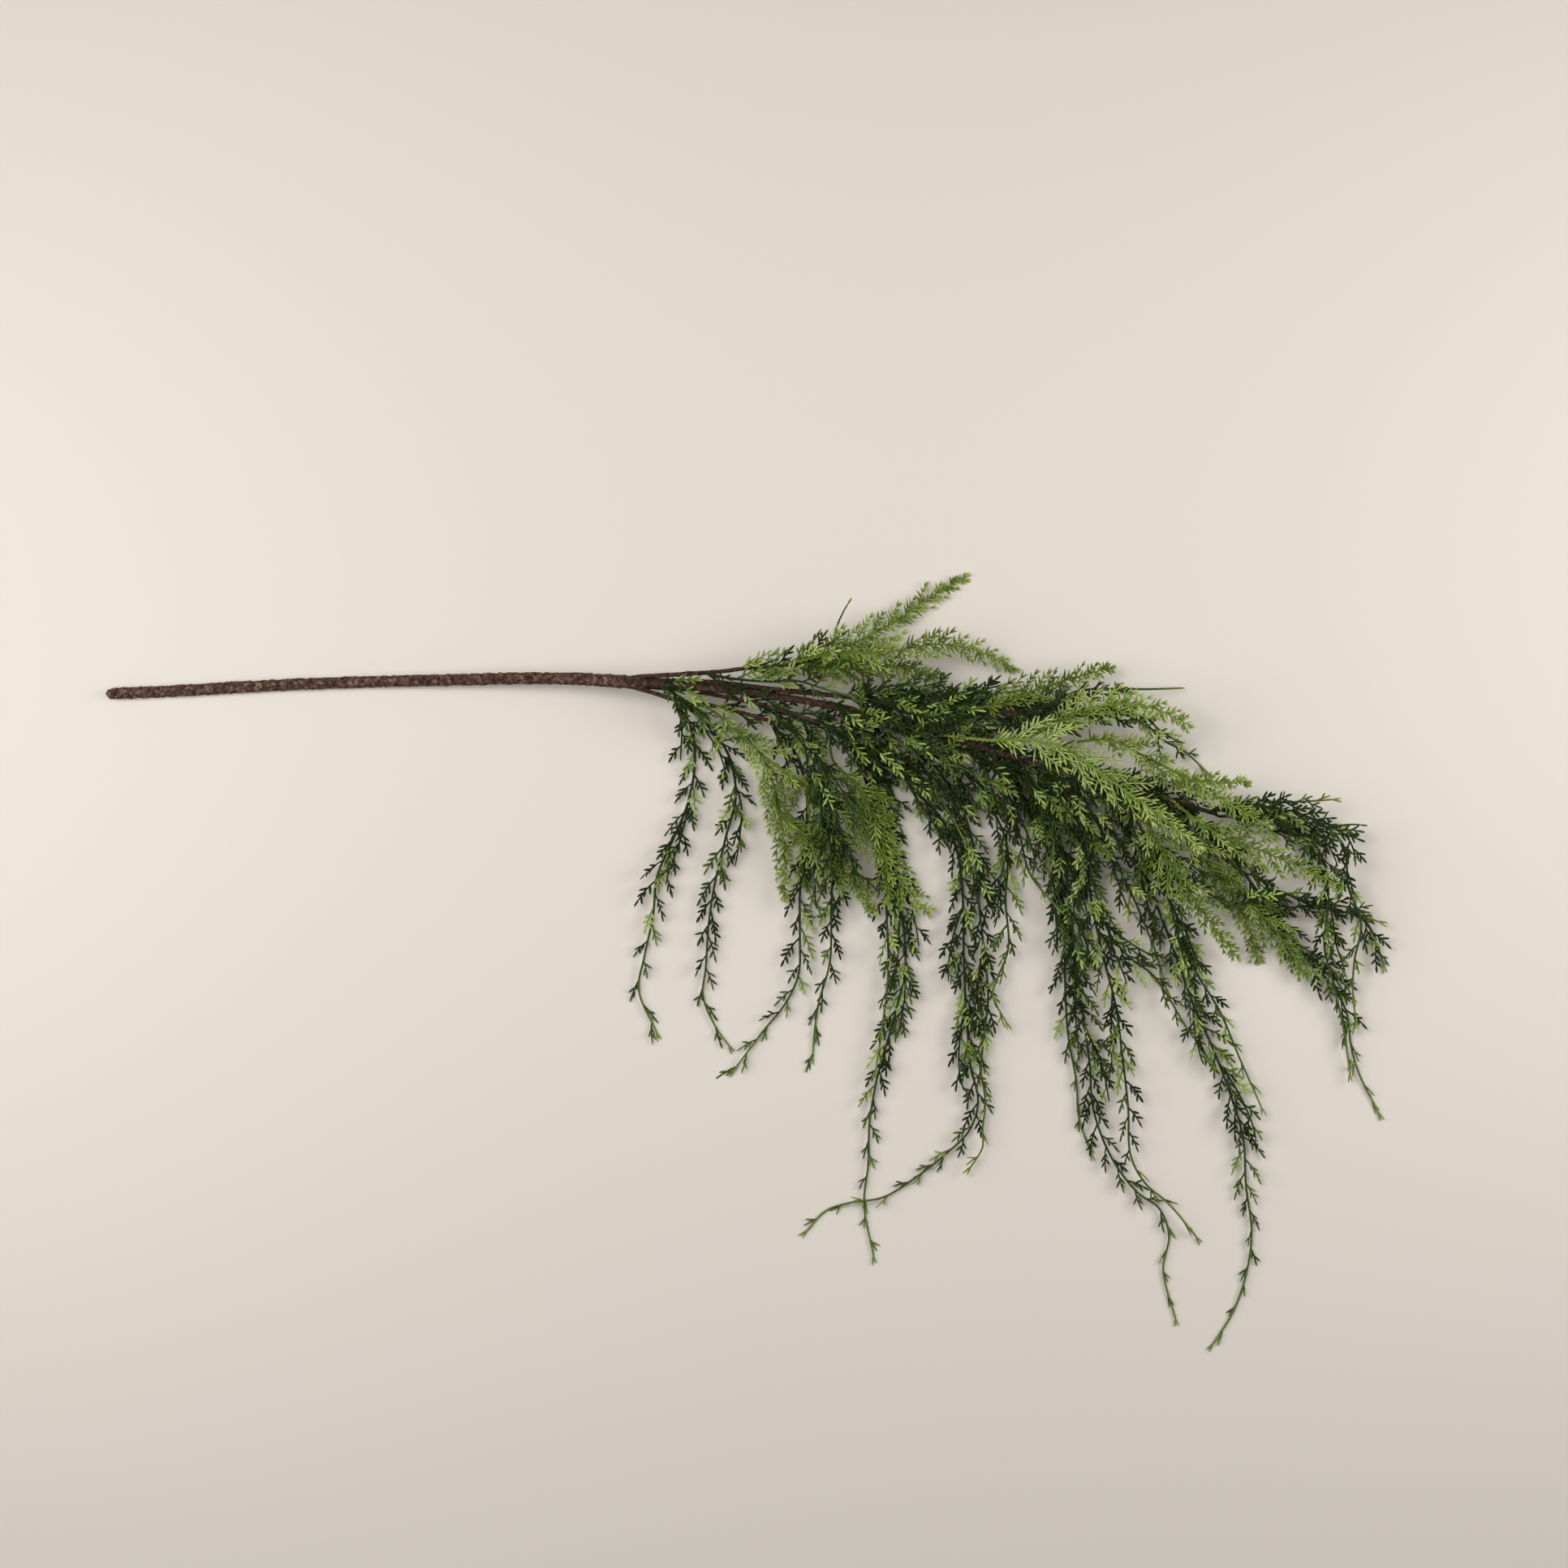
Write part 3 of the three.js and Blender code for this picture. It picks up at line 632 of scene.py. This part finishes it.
# A thin stem with a braided outline; braid is the length of one turn in mm
def addRachis(growth, line, radius, fresh, braid=2.4, depth=0.2):
    length = pathLengths(line)[-1]
    thick, thin = radius

    def radiusAt(share, turn):
        tip = math.sqrt(max(0.04, min(1, (1 - share) * length / 2.5)))
        strandsOfBraid = depth * math.sin(share * length * math.tau / braid + turn * math.tau)
        return (thick + (thin - thick) * share) * (1 + strandsOfBraid) * tip

    points, faces = tubeMesh(line, radiusAt, sides=5, rings=max(4, int(length)))
    coarse = line[::4]
    near = np.linalg.norm(points[:, None] - coarse, axis=2).argmin(axis=1) / max(1, len(coarse) - 1)
    growth.addMesh(points, faces, fresh[0] + (fresh[1] - fresh[0]) * near ** 2.5)


longestBase = 26  # mm that a foot may reach back to its twig


# The small branch that carries a strand or spray, from the nearest twig or from another strand
def addBase(growth, name, line, radius, fresh):
    carriers = list(twigLines.values())
    nearest = min(np.linalg.norm(c - line[0], axis=1).min() for c in carriers)
    if nearest > longestBase:
        carriers = carriers + [other for key, other in foliageLines.items() if key != name]
    carrier = min(carriers, key=lambda c: np.linalg.norm(c - line[0], axis=1).min())
    away = np.linalg.norm(carrier - line[0], axis=1)
    i = max(0, int(away.argmin()) - int(away.min() * 0.8))
    gap = np.linalg.norm(carrier[i] - line[0])
    if gap < 1:
        return
    along = unit(carrier[min(i + 3, len(carrier) - 1)] - carrier[max(0, i - 1)])
    ahead = unit(line[4] - line[0])
    t = np.linspace(0, 1, 8)[:, None]
    first, last = carrier[i] + along * gap * 0.4, line[0] - ahead * gap * 0.35
    curve = (carrier[i] * (1 - t) ** 3 + 3 * first * t * (1 - t) ** 2 + 3 * last * t ** 2 * (1 - t)
             + (line[0] + ahead * 0.8) * t ** 3)
    addRachis(growth, resample(curve, 1.0), (radius, radius * 0.95), fresh, braid=3, depth=0.1)


# Cedar: short shoots that end in a claw of thick, scaly fingers

cedar = {
    "pitch": 7.1,          # mm from one shoot to the next, on alternate sides
    "angle": 40,           # of a shoot to the strand, in degrees
    "reach": 1.85,         # shoot length for each mm of half width
    "longestShoot": 19,
    "fingerLength": 6.0,
    "fingerWidth": 0.92,   # half of it
    "strandRadius": [1.1, 0.72],
    "sideRadius": [0.85, 0.6],
    "sidePitch": 68,       # mm of strand for each side strand
    "shortestSide": 14,
    "frondPitch": 34,      # mm from one pale frond to the next
    "frondReach": 0.55,    # share of a strand that carries fronds
    "low": 9,              # mm over the floor; from here down, shoots hardly dip
    "darkShare": 0.5,
    "middleShare": 0.28,
    "tones": [[0.0, 0.24], [0.3, 0.52], [0.62, 1.0]],  # darkest and palest of the dark, middle and pale
}


def pickTone(mood):
    dark = cedar["darkShare"] - mood
    draw = dice.random()
    i = 0 if draw < dark else 1 if draw < dark + cedar["middleShare"] else 2
    return dice.uniform(*cedar["tones"][i])


def addFinger(growth, spot, ahead, up, size, shade, width=1.0):
    growth.addRod(scaleFinger, spot, ahead, up, size, cedar["fingerWidth"] * width * dice.uniform(0.85, 1.15),
                  (shade, shade + 0.15))


def addClaw(growth, curve, up, fingers, tone, slim=1.0):
    growth.addShoot(curve, up, 0.72, (tone * 0.7, tone))
    ahead = unit(np.gradient(curve, axis=0))
    hand = 1 if dice.random() < 0.5 else -1
    for k in range(fingers):
        share = 0.32 + 0.6 * (k + dice.uniform(-0.2, 0.2)) / fingers
        i = min(6, round(share * 6))
        side = np.cross(up, ahead[i])
        lean = math.radians(dice.uniform(28, 50) * slim)
        out = unit(ahead[i] * math.cos(lean) + side * hand * math.sin(lean) + up * dice.uniform(-0.3, 0.3))
        size = cedar["fingerLength"] * dice.uniform(0.8, 1.2) * (1.12 - 0.3 * share)
        addFinger(growth, alongCurve(curve, share), out, up, size, tone + dice.uniform(-0.06, 0.08), slim)
        hand = -hand
    size = cedar["fingerLength"] * dice.uniform(0.85, 1.1)
    addFinger(growth, curve[-1] - ahead[-1] * 1.2, ahead[-1], up, size, tone + 0.05, slim)


# A pale, flat frond that lies on top
def addFrond(growth, curve, up, tone):
    length = pathLengths(curve)[-1]
    growth.addShoot(curve, up, 0.7, (tone * 0.6, tone))
    ahead = unit(np.gradient(curve, axis=0))
    count = int(length / 2.8)
    for k in range(count):
        share = 0.22 + 0.75 * k / count
        i = min(6, round(share * 6))
        side = np.cross(up, ahead[i]) * (1 if k % 2 else -1)
        lean = math.radians(dice.uniform(26, 58))
        out = unit(ahead[i] * math.cos(lean) + side * math.sin(lean) + up * dice.uniform(-0.15, 0.3))
        size = cedar["fingerLength"] * dice.uniform(0.65, 1.3) * (1.15 - 0.6 * abs(share - 0.45))
        addFinger(growth, alongCurve(curve, share), out, up, size, tone + dice.uniform(-0.16, 0.1), 0.95)
    addFinger(growth, curve[-1] - ahead[-1] * 1.2, ahead[-1], up, cedar["fingerLength"], tone + 0.05)


# Claws along a strand from a first place on; near its end they are fewer, slimmer and fresher
def addClaws(growth, line, widthAt, pitch, mood, endBare, first=0, to=1, shortest=8):
    ahead, side, up = framesOf(line)
    lengths = pathLengths(line)
    at, hand = first + dice.uniform(2, 4), 1
    while at < lengths[-1] * to - 3:
        share = at / lengths[-1]
        i = int(np.searchsorted(lengths, at))
        late = endBare * smoothStep(share, 0.62, 0.9)
        reach = max(shortest, widthAt(share) * cedar["reach"])
        length = min(cedar["longestShoot"], reach) * dice.uniform(0.65, 1.1) * (1 - 0.2 * late)
        dip, lift = (-10, 40) if line[i, 2] < cedar["low"] else (-40, 50)
        rise = math.radians(dice.uniform(dip, lift)) * (1 - 0.6 * late)
        angle = math.radians(cedar["angle"] + dice.uniform(-16, 14)) * (1 - 0.3 * late)
        out = shootDirection(ahead[i], side[i], up[i], hand, angle, rise)
        curve = shootCurve(line[i], out, ahead[i], length, 0.1)
        flat = turned(unit(up[i] - out * np.dot(up[i], out)), out, math.radians(dice.uniform(-45, 45)))
        fingers = 1 + int(length / 3.9 * dice.uniform(0.8, 1.2) * (1 - 0.5 * late))
        tone = pickTone(mood + 0.25 * noise.noise(Vector(line[i]) * 0.025))
        tone += (dice.uniform(0.4, 0.8) - tone) * late
        addClaw(growth, curve, flat, min(fingers, 6), tone, 1 - 0.3 * late)
        at += pitch * dice.uniform(0.7, 1.3) * (1 + 1.4 * endBare * smoothStep(share, 0.6, 0.95))
        hand = -hand


# Beside the strand, thinner ones that part from it and run on with it
def addSideStrand(growth, line, start, end, offset, rise, mood):
    side, up = framesOf(line)[1:]
    lengths = pathLengths(line)
    part = (lengths >= start) & (lengths <= end)
    if part.sum() < cedar["shortestSide"]:
        return
    t = (lengths[part] - start) / (end - start)
    ease = (1 - (1 - t) ** 2)[:, None]
    path = resample(line[part] + side[part] * offset * ease + up[part] * rise * ease, 1.0)
    addRachis(growth, path, cedar["sideRadius"], fresh=(0.1, 0.3))
    addClaws(growth, path, lambda share: 8 * (1 - 0.35 * share), cedar["pitch"] * 1.15, mood, endBare=0.15)


def addFronds(growth, line):
    ahead, side, up = framesOf(line)
    lengths = pathLengths(line)
    at = dice.uniform(10, 24)
    while at < lengths[-1] * cedar["frondReach"]:
        i = int(np.searchsorted(lengths, at))
        hand = 1 if dice.random() < 0.5 else -1
        angle, rise = math.radians(dice.uniform(12, 50)), math.radians(dice.uniform(20, 60))
        out = shootDirection(ahead[i], side[i], up[i], hand, angle, rise)
        curve = shootCurve(line[i], out, ahead[i], dice.uniform(13, 21), 0.25)
        flat = turned(unit(worldUp - out * out[2]), out, math.radians(dice.uniform(-20, 20)))
        addFrond(growth, curve, flat, dice.uniform(0.7, 1))
        at += cedar["frondPitch"] * dice.uniform(0.6, 1.5)


# Short leafy shoots that grow from the bare twigs
twigLeaves = {
    "upper_twig": {"from": 78, "to": 118, "pitch": 8, "length": [12, 20], "mood": 0.3},
    "main_twig": {"from": 205, "to": 400, "pitch": 6.5, "length": [18, 34]},
    "second_twig": {"from": 150, "to": 288, "pitch": 5, "length": [20, 38]},
    "middle_twig": {"from": 84, "to": 158, "pitch": 8, "length": [14, 26]},
    "lower_twig": {"from": 66, "to": 104, "pitch": 12, "length": [10, 20]},
}


def makeTwigLeaves(name):
    twig = twigLeaves[name]
    line = twigLines[name]
    ahead, side, up = framesOf(line)
    lengths = pathLengths(line)
    growth = Growth()
    at, hand = twig["from"], 1
    while at < min(twig["to"], lengths[-1] - 1):
        i = int(np.searchsorted(lengths, at))
        angle, rise = math.radians(dice.uniform(14, 40)), math.radians(dice.uniform(-35, 30))
        out = shootDirection(ahead[i], side[i], up[i], hand, angle, rise)
        curve = resample(shootCurve(line[i], out, ahead[i], dice.uniform(*twig["length"]), 0.12), 1.0)
        addRachis(growth, curve, cedar["sideRadius"], fresh=(0.08, 0.25))
        addClaws(growth, curve, lambda share: 7.5 * (1 - 0.3 * share), pitch=4.6,
                 mood=twig.get("mood", -0.13), endBare=0)
        at += twig["pitch"] * dice.uniform(0.7, 1.3)
        hand = -hand
    addSprigs(growth, name)
    return growth.finish("cedar_" + name, name, scaleLeaf)


# Single fronds, leafy shoots and bare whips; each grows from the highest strand or twig near its start
sprigs = [
    ("frond", [444, 17], [460, 21.5]), ("frond", [461, 18], [475, 14]), ("frond", [486, 22], [500, 30]),
    ("frond", [497, 23], [512, 29]), ("leafy", [476, 20], [514, 13]), ("leafy", [486, 20], [538, 12]),
    ("leafy", [384, 7], [425, -20]), ("frond", [394, 5], [415, 9]), ("frond", [402, 0], [421, -6]),
    ("leafy", [392, 2], [409, -16]), ("leafy", [528, 0], [566, 6]), ("leafy", [548, -4], [590, 8]),
    ("leafy", [572, -8], [612, 2]), ("frond", [548, -16], [566, -4]), ("frond", [586, -12], [604, 0]),
    ("frond", [534, -13], [529, 4]), ("frond", [523, -31], [546, -18]), ("frond", [568, -20], [587, -14]),
    ("frond", [561, -45], [571, -25]), ("frond", [551, -3], [568, -12]), ("frond", [529, -64], [546, -79]),
    ("frond", [602, -106], [613, -121]), ("frond", [540, -34], [557, -56]), ("frond", [592, -40], [604, -24]),
    ("frond", [618, -58], [636, -70]), ("frond", [650, -84], [656, -104]),
    ("frond", [690, -100], [704, -114]),
    ("frond", [412, -7], [420, -24]), ("frond", [424, -12], [441, -14]), ("frond", [432, -18], [430, -36]),
    ("frond", [442, -26], [458, -31]), ("frond", [654, -60], [668, -86]),
    ("frond", [470, 14], [486, 18]), ("frond", [452, 14], [468, 11]), ("frond", [500, 14], [517, 19]),
    ("frond", [520, 18], [536, 10]), ("leafy", [487, 21], [518, 38]), ("leafy", [484, 21], [498, 36]),
    ("leafy", [503, -58], [499, -102]), ("leafy", [490, -42], [528, -92]), ("leafy", [496, -62], [520, -118]),
    ("leafy", [505, -84], [508, -130]), ("leafy", [509, -90], [530, -134]),
    ("leafy", [492, -96], [486, -138]), ("leafy", [760, -118], [790, -152]),
    ("leafy", [744, -96], [772, -130]),
    ("whip", [857, -94], [880, -92]), ("whip", [509, 29], [521, 63]),
]


sprigLift = {"ownerWithin": 7, "topWithin": 8, "clear": 3, "least": 5, "most": 22}  # mm


def sprigOwner(start):
    reach = {key: np.linalg.norm(line[:, :2] - start, axis=1) for key, line in carrierLines.items()}
    close = [key for key in reach if reach[key].min() < sprigLift["ownerWithin"]]
    close = close or [min(reach, key=lambda k: reach[k].min())]
    owner = max(close, key=lambda k: carrierLines[k][reach[k].argmin(), 2])
    return owner, carrierLines[owner][reach[owner].argmin()]


# The height of the foliage around a place
def heightNear(place):
    within = sprigLift["topWithin"]
    near = [line[np.linalg.norm(line[:, :2] - place, axis=1) < within, 2] for line in foliageLines.values()]
    return max([z.max() for z in near if len(z)], default=0)


def addSprigs(growth, name):
    for kind, start, end in sprigs:
        owner, first = sprigOwner(start)
        if owner != name:
            continue
        top = min(first[2] + sprigLift["most"], heightNear(end) + sprigLift["clear"])
        last = np.array([*end, max(first[2] + sprigLift["least"], top)])
        knee = (first + last) / 2 + np.array([0, 0, 4]) + 0.12 * np.cross(worldUp, last - first)
        t = np.linspace(0, 1, 7)[:, None]
        curve = first * (1 - t) ** 2 + 2 * knee * t * (1 - t) + last * t ** 2
        if kind == "frond":
            flat = turned(worldUp, unit(last - first), math.radians(dice.uniform(-30, 30)))
            addFrond(growth, curve, flat, dice.uniform(0.62, 0.95))
            continue
        path = resample(curve, 1.0)
        if kind == "leafy":
            addRachis(growth, path, radius=[0.9, 0.6], fresh=(0.08, 0.3))
            addClaws(growth, path, lambda share: 6.5, pitch=6, mood=-0.1, endBare=0.3)
            continue
        addRachis(growth, path, radius=[0.95, 0.55], fresh=(0.15, 0.35))
        tip = unit(last - knee)
        addFinger(growth, curve[-1] - tip, tip, worldUp, size=5, shade=0.5, width=0.7)


def makeStrand(name):
    route = strandRoutes[name]
    line = foliageLines[name]
    length = pathLengths(line)[-1]
    full = route.get("full", 1)
    mood = dice.uniform(-0.14, 0.02)
    growth = Growth()
    addBase(growth, name, line, radius=1.05, fresh=(0.1, 0.15))
    addRachis(growth, line, cedar["strandRadius"], fresh=(0.1, 0.75))
    sparse = "pitch" in route
    endBare, shortest = (0.6, 13) if sparse else (1, 8)
    pitch = route.get("pitch", cedar["pitch"])
    addClaws(growth, line, lambda share: strandWidth(route["wide"], share), pitch, mood, endBare,
             route.get("bare", 0) * length, route.get("to", 1), shortest)
    count = round(length / cedar["sidePitch"] * full)
    for k in range(count):
        start = length * (0.02 + 0.62 * (max(0, k + dice.uniform(-0.3, 0.3)) / count) ** 1.25)
        offset = (1 if k % 2 else -1) * dice.uniform(0.5, 1.1) * route["wide"]
        rise = dice.uniform(0, 5) * min(1, full)
        end = min(length, start + dice.uniform(38, 64))
        addSideStrand(growth, line, start, end, offset, rise, mood)
    addFronds(growth, line)
    tip = unit(line[-1] - line[-4])
    side = np.cross(worldUp, tip)
    for lean in (-0.3, 0.12) if "to" not in route else ():
        addFinger(growth, line[-1] - tip * 2, unit(tip + side * lean), worldUp, dice.uniform(6, 8), 0.75, 0.7)
    addSprigs(growth, name)
    return growth.finish("cedar_" + name, name, scaleLeaf)


# Needle sprays

spray = {
    "pitch": 5.4,          # mm from one shoot to the next, on alternate sides
    "angle": 50,
    "reach": 1.25,         # shoot length for each mm of half width
    "needleSpacing": 3.3,  # mm between pairs
    "needleLength": 9.3,
    "needleWidth": 0.74,   # half of it
    "stemRadius": [1.05, 0.55],
    "nubLength": 2.6,      # on the bare foot of a spray
    "highShare": 0.22,     # shoots that rise from the spray
    "missing": 0.06,       # share of the needles
}


# A needle, coloured from dark at its foot to pale at its tip: painted shade at the foot, where needles crowd
# along the shoot, and the tip's own paler green
def addNeedle(growth, spot, ahead, side, up, hand, lean, size, shade):
    out = unit(ahead * math.cos(lean) + side * hand * math.sin(lean) + up * dice.uniform(-0.22, 0.32))
    flat = turned(up, out, dice.uniform(-0.5, 0.5))
    growth.addRod(softNeedle, spot, out, flat, size, spray["needleWidth"] * dice.uniform(0.9, 1.15),
                  (shade - 0.22, shade + 0.38))


def addNeedleShoot(growth, curve, up, needle, fresh, spacing):
    growth.addShoot(curve, up, 0.66, (fresh, fresh + 0.22))
    ahead = unit(np.gradient(curve, axis=0))
    count = max(2, int(pathLengths(curve)[-1] * 0.85 / spacing))
    for k in range(count):
        share = 0.15 + 0.8 * k / count
        i = min(6, round(share * 6))
        side = np.cross(up, ahead[i])
        for hand in (-1, 1):
            if dice.random() < spray["missing"]:
                continue
            size = needle * dice.uniform(0.8, 1.15) * (1.05 - 0.35 * share)
            spot = alongCurve(curve, share + dice.uniform(-0.02, 0.02))
            lean = math.radians(dice.uniform(30, 46))
            shade = fresh + (share - 0.5) * 0.3 + dice.uniform(-0.12, 0.12)
            addNeedle(growth, spot, ahead[i], side, up, hand, lean, size, shade)
    side = np.cross(up, ahead[-1])
    for hand in (-1, 1):
        lean = math.radians(15 + dice.uniform(-4, 6))
        size = needle * dice.uniform(0.6, 0.8)
        addNeedle(growth, curve[-1] - ahead[-1] * 0.5, ahead[-1], side, up, hand, lean, size, fresh + 0.05)


def makeSpray(name):
    route = needleRoutes[name]
    line = foliageLines[name]
    ahead, side, up = framesOf(line)
    lengths = pathLengths(line)
    bright, needle = route["bright"], route["needle"] * spray["needleLength"]
    spacing, pitch = route.get("spacing", spray["needleSpacing"]), route.get("pitch", spray["pitch"])
    growth = Growth()
    addBase(growth, name, line, radius=0.95, fresh=(bright * 0.35, bright * 0.55))
    addRachis(growth, line, spray["stemRadius"], (bright * 0.75, bright + 0.1), braid=3.4, depth=0.12)
    at, hand = 2.0, 1
    while at < lengths[-1] - 2:
        share = at / lengths[-1]
        i = int(np.searchsorted(lengths, at))
        if share > route["bare"] * 0.8:
            wide = needleWidth(route["wide"], route["bare"], share)
            high = dice.random() < spray["highShare"]
            length = max(4, wide * spray["reach"] * dice.uniform(0.8, 1.15)) * (0.75 if high else 1)
            rise = math.radians(dice.uniform(30, 60) if high else dice.uniform(-18, 28))
            angle = math.radians(spray["angle"] + dice.uniform(-9, 9))
            out = shootDirection(ahead[i], side[i], up[i], hand, angle, rise)
            curve = shootCurve(line[i], out, ahead[i], length, 0.08)
            flat = turned(unit(up[i] - out * np.dot(up[i], out)), out, math.radians(dice.uniform(-28, 28)))
            longest = needle * (1 - 0.4 * smoothStep(share, 0.5, 1))
            addNeedleShoot(growth, curve, flat, longest, bright + dice.uniform(-0.15, 0.17), spacing)
        at += pitch * dice.uniform(0.85, 1.15)
        hand = -hand
    at, hand = 1.5, 1
    while at < lengths[-1]:
        i = int(np.searchsorted(lengths, at))
        share = at / lengths[-1]
        nub = share < route["bare"]
        size = spray["nubLength"] if nub else needle * dice.uniform(0.65, 1.05)
        size *= 1 - 0.4 * smoothStep(share, 0.6, 1)
        lean = math.radians(26 if nub else dice.uniform(35, 50))
        shade = bright + dice.uniform(-0.1, 0.1)
        addNeedle(growth, line[i], ahead[i], side[i], up[i], hand, lean, size, shade)
        at += dice.uniform(1.5, 2.3)
        hand = -hand
    for degrees in (-14, 0, 14):
        lean, size = math.radians(degrees), needle * 0.65
        addNeedle(growth, line[-1], ahead[-1], side[-1], up[-1], 1, lean, size, bright + 0.1)
    addSprigs(growth, name)
    return growth.finish("needle_spray_" + name.split("_")[1], name, needleLeaf)


allRoutes = {**strandRoutes, **needleRoutes}
foliageLines = {name: liftLine(name, route["line"]) for name, route in allRoutes.items()}
carrierLines = {**twigLines, **{name: foliageLines[name] for name in [*strandRoutes, "needles_1"]}}

total = makeStem() + sum(makeTwig(name) for name in twigs)
print("stem and twigs:", total, "faces")
groups = ((makeTwigLeaves, twigLeaves), (makeStrand, strandRoutes), (makeSpray, needleRoutes))
for makePiece, routes in groups:
    counts = [makePiece(name) for name in routes]
    total += sum(counts)
    print(len(counts), "pieces with", sum(counts), "faces, the largest", max(counts))
print("foliage is ready,", total, "faces in all")


# Floor, light and camera

camera = {"over": [475.95, -63.27], "height": 4.5885, "lens": 150}
studio = {
    "floorColour": "e6ddd2",
    "aim": (0.1, 0.1, 0),
    "lights": {
        "key": {"place": (-0.57, 0.54, 1.97), "power": 19.6, "size": 1.0},
        "left": {"place": (-0.88, 0.18, 0.77), "power": 4.6, "size": 0.7},
        "right": {"place": (1.05, 0.29, 0.8), "power": 6.8, "size": 0.7},
    },
    "sky": 0.156,
}


def makeFloor():
    bm = bmesh.new()
    bmesh.ops.create_grid(bm, x_segments=1, y_segments=1, size=4)
    mesh = bpy.data.meshes.new("floor")
    bm.to_mesh(mesh)
    bm.free()
    floor = bpy.data.objects.new("floor", mesh)
    scene.collection.objects.link(floor)
    material, *_, shader = newMaterial("floor", roughness=0.9, shine=0.2)
    shader.inputs["Base Color"].default_value = linear(studio["floorColour"])
    mesh.materials.append(material)


def areaLight(name, place, power, size):
    light = bpy.data.lights.new(name, "AREA")
    light.energy, light.size = power, size
    obj = bpy.data.objects.new(name, light)
    scene.collection.objects.link(obj)
    obj.location = place
    obj.rotation_euler = (Vector(studio["aim"]) - Vector(place)).to_track_quat("-Z", "Y").to_euler()


def makeCamera():
    lens = bpy.data.cameras.new("camera")
    lens.lens = camera["lens"]
    lens.clip_end = 20
    obj = bpy.data.objects.new("camera", lens)
    scene.collection.objects.link(obj)
    x, y = (np.array(camera["over"]) + cutEnd[:2]) * mm
    obj.location = (x, y, camera["height"])
    scene.camera = obj


makeFloor()
for name, light in studio["lights"].items():
    areaLight(name, **light)
world = bpy.data.worlds.new("studio")
world.use_nodes = True
world.node_tree.nodes["Background"].inputs["Color"].default_value = (1, 1, 1, 1)
world.node_tree.nodes["Background"].inputs["Strength"].default_value = studio["sky"]
scene.world = world
scene.view_settings.view_transform = "Standard"
makeCamera()
print("floor, light and camera are ready")
